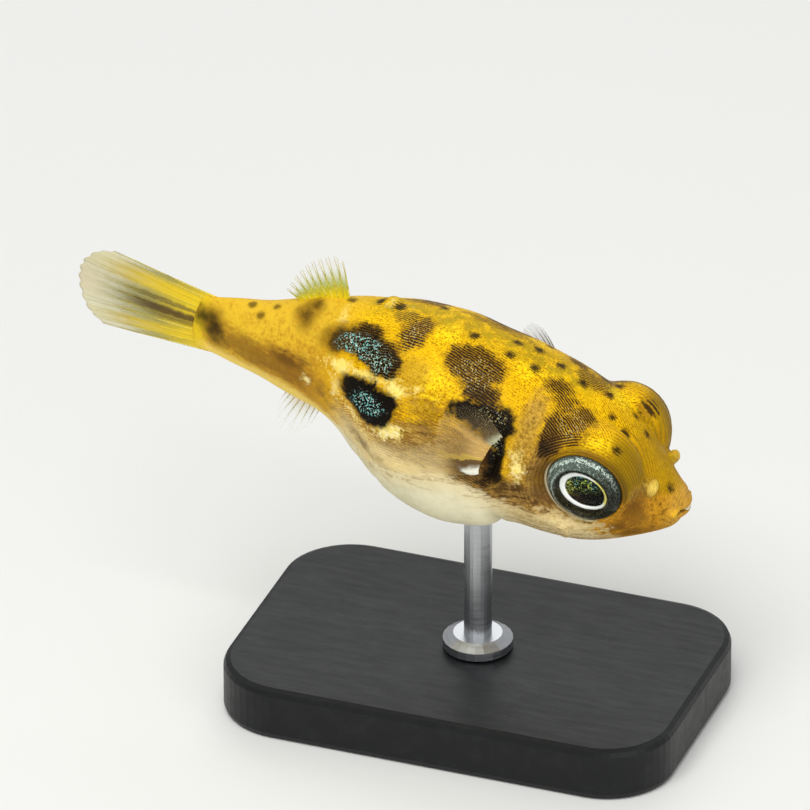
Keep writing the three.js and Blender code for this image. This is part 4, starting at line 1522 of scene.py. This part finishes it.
# %% [markdown]
# A flat plate with painted lines would look wrong against the light. So each ray is a real
# tapering rod that forks towards its tip, grown by extruding a small disc ring by ring along
# its path. The skin is a thin closed sheet, notched a little between the rays.

# %% Grow the web and the rays
WEB_THICKNESS = 0.035


def add_web(shape, fan, layer, columns=8, rows=40):
    """The sheet of skin between the rays, with a little thickness."""
    sheet = bmesh.ops.create_grid(shape, x_segments=fan.rays * columns, y_segments=rows, size=1)["verts"]
    faces = list({face for vertex in sheet for face in vertex.link_faces})
    grown = bmesh.ops.extrude_face_region(shape, geom=faces, use_keep_orig=True)["geom"]
    other = [item for item in grown if isinstance(item, bmesh.types.BMVert)]
    for vertices, offset in ((sheet, -0.5), (other, 0.5)):
        grid = np.array([vertex.co[:2] for vertex in vertices])
        across, along = (grid[:, 0] + 1) / 2, (grid[:, 1] + 1) / 2
        between = np.sin(math.pi * across * (fan.rays - 1)) ** 2
        reach = along * (1 - fan.notch * between)
        places = fan.points(across, reach) + fan.normal * (WEB_THICKNESS * offset)
        for vertex, place, a, t in zip(vertices, places, across, along):
            vertex.co = Vector(place * (-1, 1, 1))
            vertex[layer] = Vector((a, t, 0))


def add_rod(shape, fan, layer, across, along, radii, sides=7):
    """A tapering rod through places on the fan, grown ring by ring from a small disc."""
    path = fan.points(across, along)
    disc = bmesh.ops.create_circle(shape, cap_ends=True, segments=sides, radius=1)["verts"]
    cap = disc[0].link_faces[0]
    aim = np.gradient(path, axis=0)
    for k, (centre, forwards, radius) in enumerate(zip(path, aim, radii)):
        if k:
            grown = bmesh.ops.extrude_face_region(shape, geom=[cap])["geom"]
            cap = next(item for item in grown if isinstance(item, bmesh.types.BMFace))
        sideways = np.cross(forwards / np.linalg.norm(forwards), fan.normal)
        for j, vertex in enumerate(cap.verts):
            turn = math.tau * j / sides
            offset = fan.normal * math.cos(turn) + sideways * math.sin(turn)
            vertex.co = Vector((centre + offset * radius) * (-1, 1, 1))
            vertex[layer] = Vector((across[k], along[k], 1))


def fin_mesh(fan, ray_radius=0.045, forks=0.42, steps=14):
    shape = bmesh.new()
    layer = shape.verts.layers.float_vector.new("fan")
    add_web(shape, fan, layer)
    spacing = 1 / (fan.rays - 1)
    for k in range(fan.rays):
        across = k * spacing
        start = np.linspace(-0.04, forks, steps)
        taper = ray_radius * (1 - 0.35 * np.linspace(0, 1, steps))
        add_rod(shape, fan, layer, np.full(steps, across), start, taper)
        for side in (-1, 1):
            end = np.linspace(forks - 0.02, 1.0, steps)
            spread = side * spacing * 0.2 * rise(end, forks - 0.05, 1.0)
            thin = ray_radius * np.linspace(0.5, 0.16, steps)
            add_rod(shape, fan, layer, np.clip(across + spread, 0, 1), end, thin)
    return mesh_of("fin", shape)


print("fin skin", WEB_THICKNESS, "mm thick")

# %% [markdown]
# Fin skin is clear at the edge and takes the body's colour near the root, so one finish mixes
# the two by the share along the rays. The rays stay more solid than the skin and carry the
# faint joints of real fin rays.

# %% Finish for fins
def fin_finish(name, root, web, edge, ray, clear, detail=None):
    """Fin skin, by its colours from root to edge, how clear its edge is, and any marks of its own."""
    made = Finish(name, Roughness=0.4, Specular_IOR_Level=0.2)
    place = made.grain()
    across, along, bony = made.noted("fan").parts()
    cloudy = place.noise(1.6, 3.0, 0.6)
    colour = blend((along + (cloudy - 0.5) * 0.4).step(0.05, 0.5), root, web)
    colour = blend((along + (cloudy - 0.5) * 0.3).step(0.55, 0.95), colour, edge)
    opaque = 1 - along.step(0.08, 0.85) * clear
    joints = along.wave(0.035)
    ray_colour = blend(along.step(0.0, 0.3), colour, ray)
    colour = blend(bony * 0.75, colour, blend(joints * 0.35, ray_colour, web))
    opaque = (opaque + bony * (1 - opaque) * 0.6).held()
    if detail:
        colour, opaque = detail(place, across, along, bony, colour, opaque)
    made.feed(Base_Color=colour, Alpha=opaque.held())
    made.relief(joints * bony + cloudy * 0.5, 0.012, 0.6)
    return made.material


def stripe(across, middle, width):
    """1 along a line of rays, fading to 0 at a width to each side."""
    return (across - middle).unsigned().step(width, width * 0.25)


print("fin tools ready")

# %% [markdown]
# The tail fin carries on the colours of its stalk: yellow bands above and below, and between
# them a few dark rays where the bar of the tail runs on into the fin. Its end is nearly clear.

# %% Tail fin
YELLOW_SKIN, FIN_OLIVE, FIN_CREAM = paint(224, 192, 30), paint(158, 148, 60), paint(206, 198, 150)
RAY_LIGHT, RAY_BROWN = paint(222, 204, 104), paint(74, 50, 22)
ROOT_GOLDS = paint(196, 146, 26), paint(240, 200, 44)

tail_fan = Fan(
    roots=[(21.7, 0, 2.1), (21.95, 0, 1.4), (21.95, 0, 0.3), (21.6, 0, -0.52)],
    tips=[(26.6, 0, 2.55), (27.4, 0, 2.3), (27.85, 0, 1.75), (28.0, 0, 1.0), (27.85, 0, 0.25),
          (27.4, 0, -0.45), (26.5, 0, -1.0)],
    rays=11, normal=(0, 1, 0), bow=0.12, ripple=0.1, notch=0.015,
)


def tail_marks(place, across, along, bony, colour, opaque):
    """Yellow bands over and under a few dark rays that carry the bar of the stalk into the fin."""
    ragged = (place.noise(4.0, 3.0) - 0.5) * 0.06
    grains = place.noise(9.0, 3.0, 0.6)
    root_gold = blend(grains.step(0.4, 0.65), *ROOT_GOLDS)
    gold = blend((grains * 1.2 - along * 3).step(0.25, 0.55), colour, root_gold)
    colour = blend(along.step(0.3, 0.05), colour, gold)
    bands = (stripe(across + ragged, 0.22, 0.16) + stripe(across + ragged, 0.84, 0.12) * 0.8).held()
    colour = blend(bands * along.step(1.05, 0.4) * 0.9, colour, YELLOW_SKIN)
    dark = stripe(across + ragged, 0.53, 0.1) * along.step(0.8, 0.4)
    dark = dark + stripe(across + ragged, 0.4, 0.05) * along.step(0.75, 0.45) * 0.7
    dark = (dark + stripe(across + ragged, 0.63, 0.05) * along.step(0.6, 0.3) * 0.6).held()
    colour = blend(dark * 0.9, colour, RAY_BROWN)
    tip = stripe(across, 0.5, 0.22) * along.step(0.72, 0.95)
    colour = blend(tip * 0.7, colour, paint(226, 212, 176))
    return colour, opaque + (bands * 0.25 + dark * 0.6 + tip * 0.4).held() * (1 - opaque)


tail_finish = fin_finish("tail_fin", YELLOW_SKIN, FIN_OLIVE, FIN_CREAM, RAY_LIGHT, 0.55, tail_marks)
finish("tail_fin", fin_mesh(tail_fan, 0.055), tail_finish, "fin", "fin_caudal")

# %% [markdown]
# The dorsal fin is yellow at the root and clears to almost nothing at its tips. The anal fin
# below it is smaller, and clearer still.

# %% Dorsal and anal fins
dorsal_fan = Fan(
    roots=[(16.1, 0, 4.1), (16.7, 0, 3.9), (17.4, 0, 3.65), (18.15, 0, 3.3)],
    tips=[(16.7, 0, 5.95), (17.1, 0, 6.1), (17.5, 0, 5.9), (17.95, 0, 5.5), (18.35, 0, 5.0),
          (18.65, 0, 4.4), (18.85, 0, 3.75)],
    rays=10, normal=(0, 1, 0), bow=-0.1, ripple=0.06, notch=0.12,
)
dorsal_finish = fin_finish(
    "dorsal_fin", paint(222, 196, 10), paint(176, 180, 26), FIN_CREAM, RAY_LIGHT, 0.94,
)
finish("dorsal_fin", fin_mesh(dorsal_fan, 0.05), dorsal_finish, "fin", "fin_dorsal")

anal_fan = Fan(
    roots=[(16.4, 0, -1.15), (16.9, 0, -1.05), (17.4, 0, -1.0), (17.95, 0, -0.92)],
    tips=[(16.75, 0, -2.4), (17.15, 0, -2.9), (17.6, 0, -3.22), (18.05, 0, -3.2), (18.3, 0, -2.55),
          (18.3, 0, -1.8)],
    rays=8, normal=(0, 1, 0), bow=0.06, ripple=0.05, notch=0.1,
)


def nearly_clear(place, across, along, bony, colour, opaque):
    """Leaves only a trace of the rays beyond the fin's root."""
    return colour, opaque * along.step(0.9, 0.0) * 0.35 + bony * 0.08


anal_finish = fin_finish(
    "anal_fin", STALK_GOLD, paint(206, 206, 160), paint(224, 222, 200), RAY_LIGHT, 1.0, nearly_clear,
)
finish("anal_fin", fin_mesh(anal_fan, 0.045), anal_finish, "fin", "fin_anal")

# %% [markdown]
# The pectoral fins beat all the time in life and are posed half folded back along the flank,
# each on its fleshy root behind the gill slit. Their marks lie in bands across the rays, from
# clear grey at the top, through streaks of painted shade, to a brown fold that is partly painted
# shade and a white patch below that is partly a painted highlight.

# %% Mark the pectoral fins
PECTORAL = (7.95, 3.72, 1.7)       # middle of the left fin's root: back, left, up
PECTORAL_SPREAD = math.radians(30)


def on_pectoral(side, out, up):
    """A point of the fan, from its distance out along the fin and its height over the root."""
    back, left, level = PECTORAL
    sweep = (back + out * math.cos(PECTORAL_SPREAD), left + out * math.sin(PECTORAL_SPREAD))
    return sweep[0], side * sweep[1], level + up


def pectoral_marks(place, across, along, bony, colour, opaque):
    """Clear grey over the top, tan in the middle with streaks of painted shade, and a brown fold
    that is partly painted shade, with a white patch below that is partly a painted highlight.
    """
    ragged = (place.noise(3.0, 3.0) - 0.5) * 0.12
    across = across + ragged
    upper = across.step(0.36, 0.24)
    grey = blend(along.step(0.0, 0.25), paint(176, 186, 160), paint(74, 68, 56))
    colour = blend(upper * 0.8, colour, grey)
    opaque = opaque * (1 - upper * along.step(0.02, 0.3) * 0.6)
    # painted shade in streaks across the middle of the fin
    shade = stripe(across, 0.55, 0.12) + stripe(across, 0.42, 0.07)
    shade = shade * along.step(0.2, 0.6) * along.step(1.0, 0.8)
    colour = blend(shade.held() * 0.55, colour, paint(112, 84, 42))
    # brown over the lower rays, partly the fin's colour and partly painted shade
    lower = across.step(0.62, 0.68)
    colour = blend(lower * along.step(1.0, 0.5) * 0.9, colour, paint(80, 56, 30))
    opaque = opaque + lower * along.step(1.0, 0.3) * (1 - opaque) * 0.5
    opaque = opaque * (1 - along.step(0.6, 1.0) * 0.6)
    fold = stripe(across, 0.64, 0.045) * along.step(0.06, 0.16)
    colour = blend(fold * 0.7, colour, paint(214, 182, 76))
    lobe = along.step(0.12, 0.05) * across.step(0.45, 0.6)
    colour = blend(lobe * 0.6, colour, paint(206, 178, 132))
    # white patch, partly white ray bases and partly a painted highlight
    patch = stripe(across, 0.9, 0.17) * along.step(0.04, 0.12) * along.step(0.62, 0.5)
    colour = blend(patch * 0.95, colour, paint(244, 244, 226))
    return colour, opaque + patch * (1 - opaque)


print("pectoral root:", on_pectoral(LEFT, 0, 0))

# %% [markdown]
# The left fin is half closed and the right one open. Their roots and tips are given as distance
# out along the fin and height over the middle of its root, in mm.

# %% Place the pectoral fins
PECTORAL_ROOTS = [(-0.32, 0.84), (0.0, 0.25), (0.0, -0.45), (0.3, -1.05)]
PECTORAL_TIPS = {
    "left": [(0.8, 1.7), (1.3, 1.65), (1.7, 1.15), (1.9, 0.5), (1.85, -0.15), (1.6, -0.8),
             (1.15, -1.05), (0.8, -1.1)],
    "right": [(0.55, 2.0), (1.7, 2.15), (2.35, 1.6), (2.5, 0.75), (2.4, -0.15), (2.1, -1.0),
              (1.5, -1.3), (0.9, -1.35)],
}

pectoral_finish = fin_finish(
    "pectoral_fin", paint(202, 162, 90), paint(204, 166, 96), paint(213, 180, 110),
    paint(222, 194, 130), 0.7, pectoral_marks,
)
for name, sign in (("left", LEFT), ("right", RIGHT)):
    pectoral_fan = Fan(
        roots=[on_pectoral(sign, *place) for place in PECTORAL_ROOTS],
        tips=[on_pectoral(sign, *place) for place in PECTORAL_TIPS[name]],
        rays=14, normal=(-math.sin(PECTORAL_SPREAD), sign * math.cos(PECTORAL_SPREAD), 0),
        bow=-0.2, ripple=0.06, notch=0.04,
    )
    web = fin_mesh(pectoral_fan, 0.035)
    finish(f"pectoral_fin_{name}", web, pectoral_finish, "fin", f"fin_pectoral_{name}")

# %% [markdown]
# ## Stand
#
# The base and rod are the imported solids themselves, and only need better finishes: black
# lacquer with faint dust and scuffs, and steel brushed round the rod.

# %% Finish the stand
lacquer = Finish("base_lacquer", Specular_IOR_Level=0.25)
place = lacquer.grain()
dust = place.noise(1.1, 4.0, 0.65)
scuff = place.stretched(0.25, 1.6, 1.0).noise(2.2, 3.0, 0.6)
lacquer.feed(
    Base_Color=blend(dust.step(0.45, 0.8) * 0.5, paint(18, 19, 20), paint(36, 37, 38)),
    Roughness=scuff * 0.25 + 0.3,
)
lacquer.relief(place.noise(9.0, 2.0), 0.01, 0.3)

steel = Finish("rod_steel", Metallic=1.0)
place = steel.grain()
brushing = place.stretched(0.4, 0.4, 14.0).noise(1.5, 3.0, 0.6)
steel.feed(
    Base_Color=blend(brushing, paint(172, 174, 177), paint(206, 208, 210)), Roughness=brushing * 0.25 + 0.2,
)
steel.relief(brushing, 0.008, 0.5)

for node, made in (("stand_base", lacquer), ("stand_rod", steel)):
    solid = frame["nodes"][node]
    for slot in solid.material_slots:
        slot.material = made.material
    print(node, "has", len(solid.material_slots), "material slot")

# %% [markdown]
# ## Camera, floor and light
#
# The camera looks from the fish's right, a little from behind and from above. It stands far off
# with a long lens, so that a fish this small has almost no perspective.

# %% Set up the camera
AZIMUTH, ELEVATION = math.radians(20), math.radians(30)
FRAME_WIDTH = 33.89                # mm of the fish's world across the view
LENS, SENSOR = 600.0, 36.0
AIM = (-11.92, 4.18)               # middle of the view, right of and above the snout, mm

towards_camera = Vector((
    math.sin(AZIMUTH) * math.cos(ELEVATION), -math.cos(AZIMUTH) * math.cos(ELEVATION), math.sin(ELEVATION),
))
rightwards = Vector((math.cos(AZIMUTH), math.sin(AZIMUTH), 0))
upwards = towards_camera.cross(rightwards)
aim = (SNOUT + rightwards * AIM[0] + upwards * AIM[1]) * MM

camera = bpy.data.cameras.new("camera")
camera.lens, camera.sensor_width = LENS, SENSOR
camera.clip_start, camera.clip_end = 0.05, 5.0
viewer = bpy.data.objects.new("camera", camera)
viewer.location = aim + towards_camera * (FRAME_WIDTH * MM * LENS / SENSOR)
viewer.rotation_euler = towards_camera.to_track_quat("Z", "Y").to_euler()
bpy.context.scene.collection.objects.link(viewer)
bpy.context.scene.camera = viewer
print("camera", round((viewer.location - aim).length, 2), "m from the fish")

# %% [markdown]
# It is pale and dull, and throws soft light back up at the belly.

# %% Lay the floor
floor_shape = bmesh.new()
bmesh.ops.create_grid(floor_shape, x_segments=1, y_segments=1, size=1.5)
floor = bpy.data.objects.new("floor", mesh_of("floor", floor_shape))
floor_finish = Finish("floor", Roughness=0.9)
floor_finish.shader.inputs["Base Color"].default_value = (*paint(226, 226, 222), 1)
floor.data.materials.append(floor_finish.material)
bpy.context.scene.collection.objects.link(floor)
print("floor", round(floor.dimensions.x, 1), "m wide")

# %% [markdown]
# Three soft lamps and a pale sky light the fish evenly, so that its colours read as they were
# mixed: a key lamp high on the right side, a weaker one low at the front and one behind.

# %% Light the stage
LAMP_TARGET = Vector((0, 0, 0.01))     # inside the fish, m


def lamp(name, azimuth, elevation, size, power, distance=0.35):
    """A square lamp of a size in m, at two angles in degrees, aimed at the fish."""
    light = bpy.data.lights.new(name, "AREA")
    light.size, light.energy = size, power
    a, e = math.radians(azimuth), math.radians(elevation)
    direction = Vector((math.sin(a) * math.cos(e), -math.cos(a) * math.cos(e), math.sin(e)))
    holder = bpy.data.objects.new(name, light)
    holder.location = direction * distance + LAMP_TARGET
    holder.rotation_euler = direction.to_track_quat("Z", "Y").to_euler()
    bpy.context.scene.collection.objects.link(holder)


lamp("key_light", -5, 60, 0.2, 0.88)
lamp("fill_light", 48, 12, 0.3, 0.42)
lamp("back_light", 195, 42, 0.25, 0.28)

world = bpy.data.worlds.new("world")
world.use_nodes = True
world.node_tree.nodes["Background"].inputs["Color"].default_value = (*paint(236, 238, 240), 1)
world.node_tree.nodes["Background"].inputs["Strength"].default_value = 0.55
bpy.context.scene.world = world
bpy.context.scene.view_settings.view_transform = "Standard"
print("lamps:", sorted(light.name for light in bpy.data.lights))
